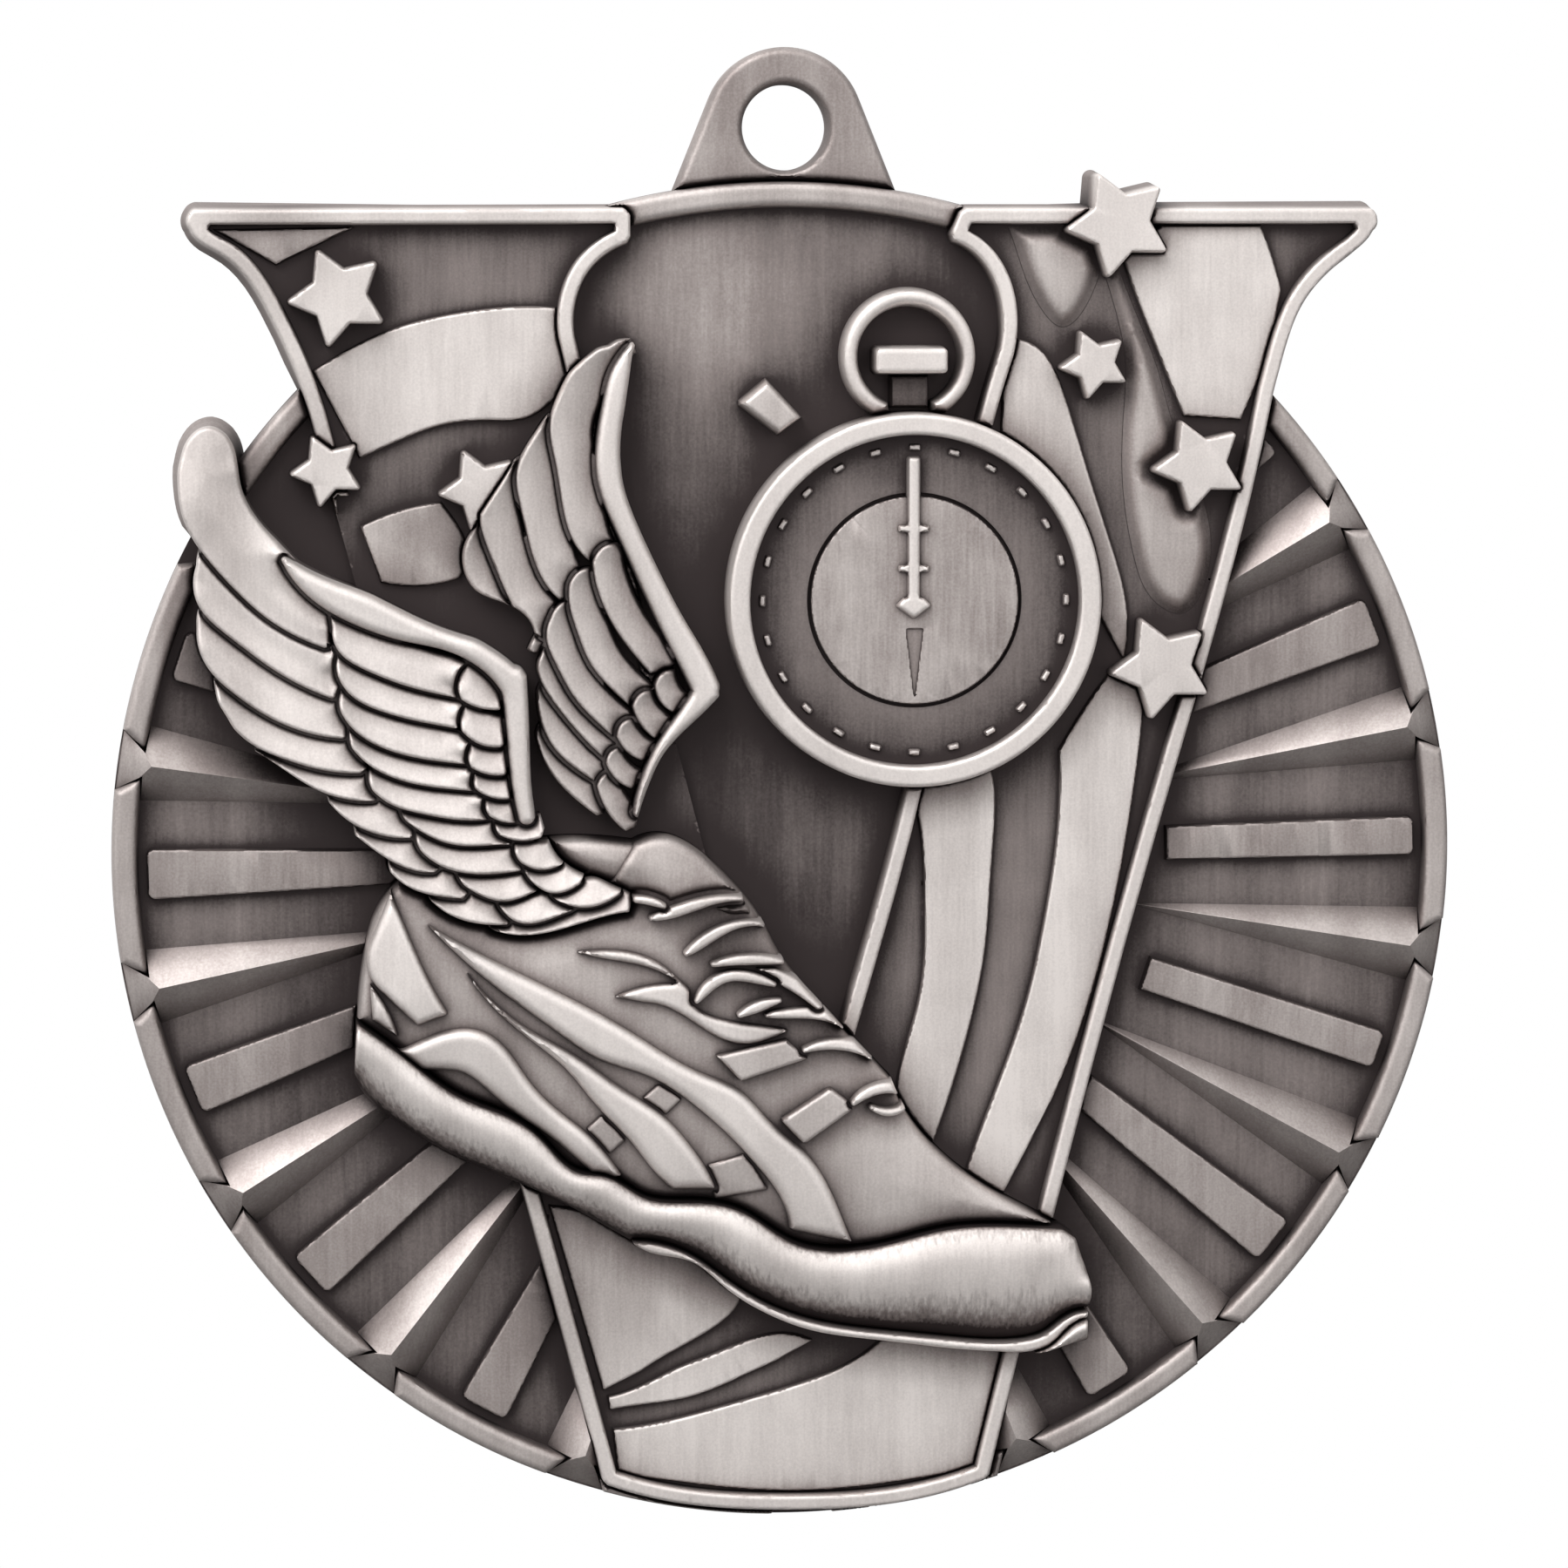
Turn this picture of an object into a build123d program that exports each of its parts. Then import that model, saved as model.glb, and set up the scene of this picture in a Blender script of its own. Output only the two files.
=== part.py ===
from build123d import *
import math
import os

# A cast finisher medal, in millimetres. Everything is drawn in plan: plan x runs across
# the medal, plan y runs up it, and heights are measured from the flat back to the front.
# save() stands the medal upright, with the front facing -Y and the back in the plane y = 0.

# Driving dimensions
DISC_R = 25.4
DISC_T = 1.5
RIM_WIDTH = 1.0
RIM_TOP = 2.2
BACK_RING_R = 21.0
BACK_RING_WIDTH = 0.6
BACK_RING_DEPTH = 0.2
LUG_TOP = 1.8
LUG_R = 3.0
LUG_Z = 27.4
LUG_LEAN = 22.0
LUG_FOOT = (4.6, 24.0)
HOLE_R = 1.6
RAY_COUNT = 18
RAY_STEP = 360 / RAY_COUNT
BAR_ANGLE = 1.3
BAR_OUTER = 24.1
BAR_INNER = 14.5
BAR_INNER_WIDTH = 1.35
BAR_OUTER_WIDTH = 2.0
NARROW_BARS = (0, 17)
NARROW_SHARE = 0.78
ABSENT_BAR = 7
BAR_TOP = 1.9
PLEAT_ANGLE = 11.4
PLEAT_HALF = 3.5
PLEAT_INNER = 13.2
PLEAT_APEX_R = 24.1
PLEAT_TOP = 2.6
HIP_RUN = 0.6
HIP_HALF = 1.9
V_PLATE_TOP = 1.9
V_BORDER_TOP = 2.6
V_BORDER_WIDTH = 0.66
SERIF_R = 0.48
SERIF_TIPS = ((-21.9, 23.9), (21.9, 23.9))
STRIPE_TOP = 2.2
STAR_TOP = 3.0
WATCH_X = 4.8
WATCH_Z = 9.7
BEZEL_OUTER = 7.1
BEZEL_INNER = 6.15
BEZEL_TOP = 3.4
DIAL_TOP = 2.7
DIAL_STEP_R = 4.0
DIAL_STEP_TOP = 2.85
TICK_R = 5.75
TICK_COUNT = 24
HAND_TOP = 3.1
CROWN_TOP = 3.2
FAR_BASE_TOP = 2.7
FAR_FEATHER_TOP = 3.2
FAR_BONE_TOP = 3.3
NEAR_BASE_TOP = 3.0
NEAR_FEATHER_TOP = 3.6
NEAR_COVERT_TOP = 3.75
NEAR_BONE_TOP = 3.9
SHOE_TOP = 3.3
OVERLAY_TOP = 3.8
LACE_TOP = 4.0
MIDSOLE_TOP = 3.9
OUTSOLE_TOP = 3.6
GAP = 0.06
SLIVER = 0.12
PLEAT_SCRAP = 0.15
CLEAR_TOP = 6.0


# Drawing helpers

def facing_up(area):
    """The same area with every face turned to the front."""
    return Sketch() + [face if face.normal_at().Z > 0 else -face for face in area.faces()]


def outline(*runs):
    """Closed area. Each run is a smooth line; the corners fall where runs meet."""
    edges = [run_line(list(run) + [following[0]])
             for run, following in zip(runs, runs[1:] + runs[:1])]
    return facing_up(make_face(edges))


def polygon(*points):
    """Closed area with straight sides."""
    return facing_up(make_face(Polyline(*points, close=True)))


def blade(stations, grow=0):
    """Tapered strip along stations (x, z, half width), rounded where it has width."""
    stations = [(x, z, half + grow) for x, z, half in stations]
    left = []
    right = []
    last = len(stations) - 1
    for i, (x, z, half) in enumerate(stations):
        before = stations[max(i - 1, 0)]
        after = stations[min(i + 1, last)]
        run = Vector(after[0] - before[0], after[1] - before[1]).normalized()
        side = Vector(-run.Y, run.X) * half
        left.append(Vector(x, z) + side)
        right.append(Vector(x, z) - side)
    first, second = stations[0], stations[1]
    ahead, end = stations[-2], stations[-1]
    start_run = Vector(first[0] - second[0], first[1] - second[1]).normalized()
    end_run = Vector(end[0] - ahead[0], end[1] - ahead[1]).normalized()
    edges = [run_line(left)]
    edges += blade_end(left[-1], right[-1], Vector(end[0], end[1]) + end_run * end[2] * 0.8, end[2])
    edges.append(run_line(right[::-1]))
    edges += blade_end(right[0], left[0], Vector(first[0], first[1]) + start_run * first[2] * 0.8,
                       first[2])
    return facing_up(make_face(edges))


def strip(points, half):
    """Strip of even width along the points."""
    return blade([(x, z, half) for x, z in points])


def run_line(points):
    """Smooth line through the points."""
    return Spline(*points) if len(points) > 2 else Line(*points)


def blade_end(start, finish, tip, half):
    """Rounded end of a blade, or nothing where the blade runs to a point."""
    return [ThreePointArc(start, tip, finish)] if half > 0.02 else []


def joined(areas):
    """One area from many."""
    total = areas[0]
    for area in areas[1:]:
        total = total + area
    return total


def cleaned(area):
    """The area without slivers too small to cast."""
    return facing_up(Sketch() + [face for face in area.faces() if face.area > SLIVER])


def plume(lower, rise, groove=0):
    """Feather that shows its lower edge and runs up under the one above it."""
    points = [Vector(*point) for point in lower]
    run = (points[-1] - points[0]).normalized()
    up = Vector(-run.Y, run.X) * rise
    back = [point + up for point in points[::-1]]
    start = points[0] + up * 0.5 - run * rise * 0.22
    end = points[-1] + up * 0.5 + run * rise * 0.12
    area = outline(points[:-1], [points[-1], end], back[:-1], [back[-1], start])
    if not groove:
        return area
    near_end = [tuple(point)[:2] for point in (back[-1], start, points[0])]
    far_end = [tuple(point)[:2] for point in (points[-1], end, back[0])]
    return joined([area, strip(lower, groove), strip(near_end, groove), strip(far_end, groove)])


def overlapped(rows, shaper, *covers):
    """Pieces that overlap like shingles, the first on top, with a groove round each."""
    faces = []
    for row in rows:
        faces += cut(shaper(*row), *covers).faces()
        covers = (*covers, shaper(*row, GAP))
    return Sketch() + faces


def shingled(rows, *covers):
    """Overlapping blades."""
    return overlapped([(row,) for row in rows], blade, *covers)


def widened(rows):
    """One area that covers every blade and the groove round it."""
    return joined([blade(row, GAP) for row in rows])


def grooved(rows):
    """One area that covers every feather and the groove under it."""
    return joined([plume(*row, GAP) for row in rows])


def cut(area, *covers):
    """The area left in view once the covers are taken out of it."""
    for cover in covers:
        area = area - cover
    return cleaned(area)


def column(area, base, top):
    """Straight-walled relief between two heights."""
    return extrude(Pos(0, 0, base) * facing_up(area), amount=top - base, dir=(0, 0, 1))


def seated(area, top):
    """Relief standing on the disc, carried down to the back where it passes the disc edge."""
    body = column(area, DISC_T, top)
    overhang = cleaned(area - Circle(DISC_R))
    if overhang.faces():
        body = body + column(overhang, 0, DISC_T)
    return body


def save(name, shape):
    """Stand the piece upright and write it."""
    solids = [solid for solid in shape.solids() if solid.volume > 0.02]
    export_step(Plane.XZ.location * Compound(solids), f"parts/{name}.step")


# Outlines of the raised motifs

def v_outside():
    """Centre line of the raised border around the outside of the big V, run by run."""
    top = [(-6.15, 24.1)]
    serif_left = [(-22.05, 24.05), (-21.7, 23.35), (-20.95, 22.9), (-19.85, 21.85), (-19.05, 20.5),
        (-18.2, 18.65)]
    side_left = [(-17.55, 16.8)]
    base = [(-6.75, -23.75), (-4.7, -24.35), (0.1, -24.8), (4.55, -24.55)]
    side_right = [(7.5, -23.75), (9.95, -13.7), (11.7, -6.85), (14.3, 2.65), (16.3, 9.65)]
    serif_right = [(18.15, 17.55), (18.6, 19.25), (19.3, 21), (20.95, 22.75), (21.8, 23.5)]
    top_right = [(22.05, 24.1)]
    return [top, serif_left, side_left, base, side_right, serif_right, top_right]


def v_inside():
    """Centre line of the border around the open wedge between the arms, run by run."""
    curl_right = [(6.75, 24.1)], [(6.45, 23.4), (7.5, 22.7), (8.1, 21.75), (8.4, 20.5)]
    side_right = [(8.3, 19.05), (7.65, 16.9), (4.8, 2.4), (2.45, -6.25)]
    side_left = [(0.5, -13.4), (-2.25, -4.1), (-4.2, 3.15)]
    curl_left = [(-8.15, 19.2), (-8.3, 20.2), (-8.15, 21.2), (-7.75, 22.1), (-7.05, 22.85)]
    end_left = [(-6.15, 23.35)]
    return [*curl_right, side_right, side_left, curl_left, end_left]


def v_frame():
    """Whole area of the V, and the border that runs round it."""
    runs = v_outside() + v_inside()
    strips = []
    for run, following in zip(runs, runs[1:] + runs[:1]):
        strips.append(strip(run + [following[0]], V_BORDER_WIDTH / 2))
    for tip in SERIF_TIPS:
        strips.append(Pos(*tip) * Circle(SERIF_R))
    border = joined(strips)
    return outline(*runs) + border, border


def worn_lines():
    """Stretches of the border too shallow to show, beside the wings."""
    left = polygon((-16.85, 13.65), (-15.25, 13.65), (-14.25, 9.2), (-16.55, 9.2))
    middle = polygon((-5.35, 4.25), (-2.35, 4.25), (-2, -0.4), (-5.35, -0.4))
    return joined([left, middle])


def v_notch():
    """Open wedge between the two arms of the V, closed over the rim."""
    runs = v_inside()
    top = [(-6.15, 26.15)]
    top_right = [(6.75, 26.15)]
    return outline(*runs, top, top_right)


def star(x, z, radius):
    """Fat five-pointed star with softened tips."""
    points = []
    for k in range(5):
        tip = math.radians(186 + 72 * k)
        valley = tip + math.radians(36)
        points.append((x + radius * math.cos(tip), z + radius * math.sin(tip)))
        points.append((x + 0.54 * radius * math.cos(valley), z + 0.54 * radius * math.sin(valley)))
    sharp = polygon(*points)
    return offset(offset(sharp, amount=-0.07 * radius), amount=0.07 * radius, kind=Kind.ARC)


def left_stars():
    return joined([star(*place) for place in ((-16.75, 21.1, 2.05), (-17.2, 14.65, 1.5),
        (-11.5, 13.9, 1.7))])


def right_stars():
    return joined([star(*place) for place in (
        (12.5, 23.8, 2.2), (11.6, 18.55, 1.45), (15.6, 14.75, 1.95), (14.2, 7.1, 2.15))])


def far_wing():
    """Whole outline of the wing behind."""
    lead = [(-5.9, 19.55), (-5.6, 19), (-5.95, 17.4), (-6.25, 15.7), (-6.2, 14.55), (-5.75, 13.3),
        (-4.1, 9.9), (-3.2, 8.25), (-2.55, 6.95)]
    elbow = [(-2.45, 6.25), (-3.9, 4.8), (-4.65, 3.95), (-5.15, 2.95), (-5.55, 1.85)]
    foot = [(-5.85, 0.65), (-7.3, 1.65), (-8.7, 2.95), (-9.65, 4.35)]
    trail = [(-9.5, 8.5), (-10.85, 9.75), (-11.7, 10.15), (-12.2, 11.3), (-11.6, 12.95),
        (-10.35, 14.85), (-9.3, 16.7), (-7.7, 18.75), (-6.8, 19.35)]
    rows = far_primaries() + far_coverts() + far_scapulars()
    whole = joined([plume(*row) for row in rows] + [blade(row) for row in far_bone()])
    return cleaned(whole & outline(lead, elbow, foot, trail))


def near_wing():
    """Whole outline of the wing in front."""
    lead = [(-21.25, 16.25), (-20.6, 15.45), (-20.45, 14.3), (-19.5, 12.5), (-18.65, 11.7),
        (-15.9, 10.2), (-12.75, 8.7), (-10.35, 7.65), (-9.65, 6.7)]
    bone = [(-9.6, 4.9), (-9.6, 2.85), (-9.25, 1.5), (-8.4, -0.1), (-5.65, -1.7)]
    foot = [(-6.15, -2.3), (-8.9, -2.8), (-11.05, -2.8), (-13.25, -1.9), (-15.05, -0.3), (-17.25, 1.9)]
    trail = [(-20, 4), (-21.65, 6.7), (-22.25, 8.6), (-22.25, 11.05), (-22.85, 13.4), (-22.75, 14.65),
        (-21.95, 16.3)]
    rows = near_primaries() + near_coverts() + near_scapulars()
    blades = [blade(row) for row in near_bone()]
    whole = joined([wing_tip()] + [plume(*row) for row in rows] + blades)
    return cleaned(whole & outline(lead, bone, foot, trail))


def shoe():
    """Whole outline of the running shoe."""
    throat = [(-5.85, 0.7), (-4.5, 0.9), (-3.1, 0.1), (-2.3, -0.65), (-0.95, -2.35), (-0.2, -3.75),
        (1.2, -5.45), (3.1, -7.5)]
    vamp = [(3.95, -8.4), (5.5, -10.9), (8, -12.85), (10.2, -14.05)]
    toe = [(10.95, -14.55), (11.45, -16.05), (11.55, -16.6), (11.45, -17.5)]
    toe_foot = [(11.5, -18.6)]
    sole = [(9.75, -18.95), (6.05, -18.75), (3.4, -18.4), (0.7, -17.95), (-1, -17.25), (-2.5, -16.25),
        (-3.7, -15.3), (-5.45, -14.85)]
    arch = [(-5.55, -14.8), (-6.9, -14), (-9.3, -12.7), (-12.15, -11.45), (-13.65, -10.65),
        (-15, -9.75), (-16.3, -8.4)]
    heel = [(-16.4, -8.2), (-16.3, -6.4), (-16.1, -4.2), (-14.85, -0.95)]
    collar = [(-14.35, -0.55), (-10.05, 0.75)]
    return outline(throat, vamp, toe, toe_foot, sole, arch, heel, collar)


def watch_bow():
    """Ring above the crown of the stopwatch."""
    ring = Pos((4.6, 18.85)) * (Circle(2.6) - Circle(1.85))
    return ring - Pos(WATCH_X, WATCH_Z) * Circle(BEZEL_OUTER)


def watch_crown():
    return Pos((4.65, 18.7)) * RectangleRounded(2.9, 1.12, 0.26)


def watch_stem():
    x, z = (4.65, 17.85)
    stem = Pos(x, z) * Rectangle(1.5, 1.9)
    return stem - Pos(WATCH_X, WATCH_Z) * Circle(BEZEL_OUTER)


def lap_button():
    return polygon((-1.9, 17.1), (-0.75, 18.05), (0.65, 16.55), (-0.3, 15.85))


def medal_disc():
    """Round body with a shallow ring sunk in the back."""
    body = column(Circle(DISC_R), 0, DISC_T)
    groove = Circle(BACK_RING_R) - Circle(BACK_RING_R - BACK_RING_WIDTH)
    return body - column(groove, 0, BACK_RING_DEPTH)


def hanger_loop():
    """Tab with the ribbon hole, flaring down to the edge of the disc."""
    lean = math.radians(LUG_LEAN)
    side = (LUG_R * math.cos(lean), LUG_Z + LUG_R * math.sin(lean))
    foot = LUG_FOOT
    arc = ThreePointArc((-side[0], side[1]), (0, LUG_Z + LUG_R), side)
    edges = [arc, Line(side, foot), Line(foot, (-foot[0], foot[1])),
             Line((-foot[0], foot[1]), (-side[0], side[1]))]
    tab = make_face(edges) - Circle(DISC_R) - Pos(0, LUG_Z) * Circle(HOLE_R)
    return column(tab, 0, LUG_TOP)


def ray_bars():
    """Flat bars of the sunburst."""
    bars = []
    for k in [k for k in range(RAY_COUNT) if k != ABSENT_BAR]:
        outer = BAR_OUTER_WIDTH * (NARROW_SHARE if k in NARROW_BARS else 1) / 2
        inner = BAR_INNER_WIDTH / 2
        bar = polygon((BAR_INNER, -inner), (BAR_OUTER, -outer), (BAR_OUTER, outer),
                      (BAR_INNER, inner))
        corners = bar.vertices().filter_by_position(Axis.X, BAR_OUTER - 0.1, BAR_OUTER + 0.1)
        bars.append(Rot(0, 0, BAR_ANGLE + RAY_STEP * k) * fillet(corners, 0.3))
    return joined(bars)


def ray_pleats():
    """Roof-shaped pleats that rise outwards and end in a hip across the rim."""
    reach = DISC_R - 0.02
    swing = math.radians(PLEAT_HALF)
    low = (PLEAT_INNER, 0, DISC_T)
    left = (reach * math.cos(swing), reach * math.sin(swing), DISC_T)
    right = (reach * math.cos(swing), -reach * math.sin(swing), DISC_T)
    apex = (PLEAT_APEX_R, 0, PLEAT_TOP)
    faces = [make_face(Polyline(*corners, close=True)) for corners in (
        (low, left, right), (low, left, apex), (low, right, apex), (left, right, apex))]
    pleat = Solid(Shell([face.face() for face in faces]))
    return [Rot(0, 0, PLEAT_ANGLE + RAY_STEP * k) * pleat for k in range(RAY_COUNT)]


def pleat_hips():
    """Notches in the rim that the hipped ends of the pleats run out through."""
    reach = DISC_R + 1
    plan = polygon((DISC_R - RIM_WIDTH - HIP_RUN, 0), (reach, HIP_HALF), (reach, -HIP_HALF))
    return joined([Rot(0, 0, PLEAT_ANGLE + RAY_STEP * k) * plan for k in range(RAY_COUNT)])


# Stripes inside the V

def left_arm_stripes():
    corner = outline([(-21.4, 23.6)], [(-16.05, 23.7)], [(-19.05, 22.25)])
    upper = [(-17.75, 18.35), (-16.5, 19.1), (-15.05, 19.8), (-13.35, 20.3), (-11.65, 20.6),
        (-9.8, 20.75)]
    end = [(-7.35, 20.5)]
    lower = [(-7.85, 18.5), (-8.8, 17.15), (-9.7, 16.55), (-11.15, 16.45), (-12.85, 16.3), (-14.55, 15.7)]
    broad = outline(upper, end, lower, [(-16, 15.05)])
    small = outline([(-16, 12.55), (-14.95, 13)], [(-12.95, 13.45), (-12.4, 12.7), (-11.95, 11.6)],
                    [(-12.3, 10.55), (-13.3, 10.3)], [(-15.25, 10.4)])
    return joined([corner, broad, small])


def right_arm_stripes():
    wedge = outline([(8.3, 19.55), (8.2, 18.15)], [(8.1, 15.85)],
                    [(12.85, 7.25), (12.85, 10), (12.3, 11.9), (11.5, 14.35), (10.75, 16.8),
                        (9.55, 19.15)])
    panel = outline([(12.7, 22.45)], [(14.3, 23.9)], [(17.9, 23.9), (18.45, 22.45)],
                    [(18.75, 21.35), (18.3, 19.15)], [(17.25, 16.4)], [(15.05, 16.55)],
                    [(14.55, 17.75), (13.65, 19.95)])
    return joined([wedge, panel])


def right_arm_folds():
    """Soft folds of the ribbon between the crisp stripes."""
    middle = outline([(12.1, 21.85)], [(12.6, 22.05), (13.3, 20.3), (14.1, 18.25), (14.7, 16.2),
        (15.7, 13.85), (16.15, 11.9), (15.95, 10.3), (15.05, 9.1), (14.05, 9.55), (13.25, 11.2),
        (12.8, 13.85), (12.8, 16.5), (12.85, 18.8), (12.5, 20.5)])
    top = outline([(8.4, 23.7)], [(11.1, 23.7)], [(11.9, 22.8), (11.6, 21.25), (10.4, 19.95),
        (9.55, 20.8), (8.9, 22.25)])
    return joined([middle, top])


def lower_right_stripes():
    first = outline([(4.6, 2.95), (5.1, 0.75), (5.25, -2.1), (4.95, -5.9), (4.45, -10.3)],
                    [(5.65, -11), (6.95, -6.85), (7.6, -3.65), (7.85, -0.25), (7.6, 3.6)])
    second = outline([(10.35, 3.95), (10.25, 0.25), (9.8, -2.65), (9.2, -5.45),
        (8.1, -8.75)], [(6.85, -12.1)],
                     [(8.15, -13.4)], [(9.85, -10.15), (11.3, -6.65), (12.5, -2.15), (13.3, 2.6),
                         (13.45, 7.25)])
    return joined([first, second])


def base_stripes():
    upper = outline([(-9.05, -13.25)], [(-7, -20.45)], [(-5.5, -19.7), (-4.1, -18.85), (-2.15, -17.6)],
                    [(-4.7, -13.9)])
    tongue = outline([(-6.85, -20.65), (-5.35, -20.15), (-4.1, -19.55), (-2.65, -19),
        (-0.55, -18.3)], [(1.05, -18.6)],
                     [(-0.4, -19.4), (-1.85, -20.05), (-3.7, -20.75), (-5.35, -21)], [(-6.75, -21.2)])
    panel = outline([(-6.65, -21.9), (-4.75, -21.65), (-2.15, -21), (0.5, -20.25),
        (2.45, -19.45)], [(3.65, -18.55)],
                    [(8.9, -18.7)], [(7.7, -23.55), (3.6, -24.25), (0.1, -24.45), (-3.35, -24.15)],
                    [(-6.45, -23.65)])
    return joined([upper, tongue, panel])


# Wing feathers

def far_primaries():
    return [
        ([(-6.7, 19.3), (-7.8, 18.75), (-8.65, 17.35), (-8.95, 16.35), (-8.75, 14.9), (-8.5, 13.35),
        (-8.1, 12), (-7.55, 11.3)], 1.65),
        ([(-9.05, 16.65), (-9.7, 15.7), (-10.2, 14.6), (-10, 13.05), (-9.7, 11.75), (-9.15, 10.4),
        (-8.55, 9.75)], 1.65),
        ([(-10.4, 14.85), (-11.3, 13.85), (-11.55, 12.65), (-11.2, 11.5), (-10.65, 10.15), (-10, 9.05),
        (-9.25, 8.35)], 1.6),
        ([(-11.7, 12.55), (-12.2, 11.5), (-11.95, 10.15), (-11.3, 9.25), (-10.4, 8.4), (-9.6, 7.8)], 1.5),
    ]


def far_coverts():
    return [
        ([(-7.35, 11.3), (-7.3, 10.6), (-7.05, 9.75), (-6.5, 8.65), (-5.85, 7.75), (-5.2, 7)], 1.3),
        ([(-8.25, 10.4), (-8.25, 9.6), (-7.95, 8.55), (-7.45, 7.35), (-6.8, 6.55), (-6, 5.8)], 1.3),
        ([(-8.95, 9.15), (-9.1, 8.25), (-8.75, 7.35), (-8.1, 6.15), (-7.3, 5.25), (-6.45, 4.5)], 1.3),
        ([(-9.3, 7.75), (-9.45, 7.15), (-9.15, 6.4), (-8.5, 5.5), (-7.7, 4.55), (-6.8, 3.7)], 1.2),
        ([(-9.45, 6.35), (-9.4, 5.5), (-8.9, 4.3), (-8.1, 3.5), (-7.05, 2.8)], 1.2),
        ([(-9.5, 4.75), (-9.15, 3.65), (-8.35, 2.6), (-7.2, 1.65)], 1.2),
    ]


def far_scapulars():
    return [
        ([(-5.05, 6.6), (-4.85, 5.95), (-4.3, 5.5)], 1.0),
        ([(-5.9, 5.8), (-5.6, 5.1), (-5.05, 4.55)], 1.1),
        ([(-6.5, 4.65), (-6.15, 4.1), (-5.5, 3.7)], 1.0),
        ([(-6.9, 3.65), (-6.55, 3.05), (-5.9, 2.65)], 0.9),
        ([(-7.25, 2.8), (-6.95, 2), (-6.15, 1.05)], 1.0),
    ]


def far_bone():
    return [
        [(-5.85, 19.3, 0.15), (-6.05, 18.9, 0.25), (-6.3, 18.2, 0.4), (-6.5, 17.25, 0.45),
            (-6.7, 15.8, 0.5), (-6.7, 14.35, 0.5), (-6.2, 12.8, 0.45), (-5.3, 10.8, 0.45),
            (-4.35, 8.85, 0.5), (-3.5, 7.3, 0.55), (-3.05, 6.35, 0.55)],
        [(-3.05, 6.3, 0.55), (-3.8, 5.3, 0.45), (-4.65, 4.25, 0.35), (-5.25, 3.1, 0.3),
            (-5.65, 1.75, 0.25)],
    ]


def wing_tip(groove=0):
    """Broad first feather at the tip of the near wing."""
    lead = [(-21.25, 16.3), (-20.65, 15.5), (-20.45, 14.35), (-19.5, 12.55), (-18.7, 11.65),
        (-17.6, 10.4), (-17.1, 9.35)]
    lower = [(-17.25, 8), (-18.25, 8.4), (-19.5, 9.15), (-20.8, 10.35), (-21.9, 11.65)]
    outer = [(-22.6, 13), (-22.75, 14), (-22.7, 15), (-22, 16.2)]
    area = outline(lead, lower + outer)
    if not groove:
        return area
    return joined([area, strip(lower + outer[:1], groove), strip([lead[-1], lower[0]], groove)])


def near_primaries():
    return [
        ([(-22.1, 11.15), (-21.8, 9.3), (-20.8, 8.4), (-19.5, 7.4), (-18.25, 6.65), (-17.1, 6.15)], 2.1),
        ([(-22.1, 8.85), (-21.45, 7), (-20.8, 6.4), (-19.5, 5.5), (-18.25, 4.95), (-16.7, 4.65)], 2.0),
        ([(-21.45, 6.65), (-21.05, 5.45), (-20.15, 4.5), (-18.9, 3.9), (-17.6, 3.5),
        (-16.05, 3.35)], 1.7),
        ([(-19.95, 4.2), (-18.9, 3.5), (-17.6, 2.7), (-16.45, 2.35), (-15.55, 2.3)], 1.3),
        ([(-17.25, 2.3), (-16.35, 1.45), (-15.45, 1.05), (-14.2, 0.9)], 1.4),
        ([(-16.25, 1), (-15.2, 0.2), (-14.45, -0.2), (-13.3, -0.4)], 1.4),
        ([(-14.95, -0.4), (-13.95, -1.1), (-13.2, -1.3), (-12.25, -1.4)], 1.3),
        ([(-13.5, -1.4), (-12.55, -2.1), (-11.65, -2.35), (-10.6, -2.4)], 1.3),
        ([(-11.2, -2.55), (-10, -2.8), (-8.45, -2.55), (-6, -1.95)], 1.1),
    ]


def near_coverts():
    return [
        ([(-17.1, 8.85), (-16.75, 7.8), (-15.7, 7.15), (-14.45, 6.65), (-12.4, 6.15)], 1.6),
        ([(-16.9, 7.05), (-16.25, 6.15), (-15.2, 5.65), (-13.95, 5.3), (-12.4, 5)], 1.4),
        ([(-16.8, 5.7), (-16.1, 4.8), (-15.1, 4.25), (-13.85, 3.9), (-12, 3.65)], 1.4),
        ([(-16.4, 4.35), (-15.5, 3.5), (-14.45, 3.05), (-13.2, 2.8), (-11.75, 2.65)], 1.4),
        ([(-15.65, 2.75), (-14.75, 2.1), (-13.7, 1.8), (-12.6, 1.6), (-11.2, 1.6)], 1.3),
        ([(-14.45, 1.65), (-13.55, 1), (-12.6, 0.65), (-11.55, 0.6), (-10.25, 0.65)], 1.3),
        ([(-13.85, 0.45), (-12.95, -0.2), (-11.95, -0.45), (-10.9, -0.45), (-9.75, -0.3)], 1.3),
        ([(-12.25, -0.85), (-11.4, -1.35), (-10.65, -1.5), (-9.9, -1.3), (-9.2, -1)], 1.2),
        ([(-10.7, -1.95), (-9.9, -2.35), (-9.05, -2.2), (-8.1, -1.85)], 1.1),
    ]


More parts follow.
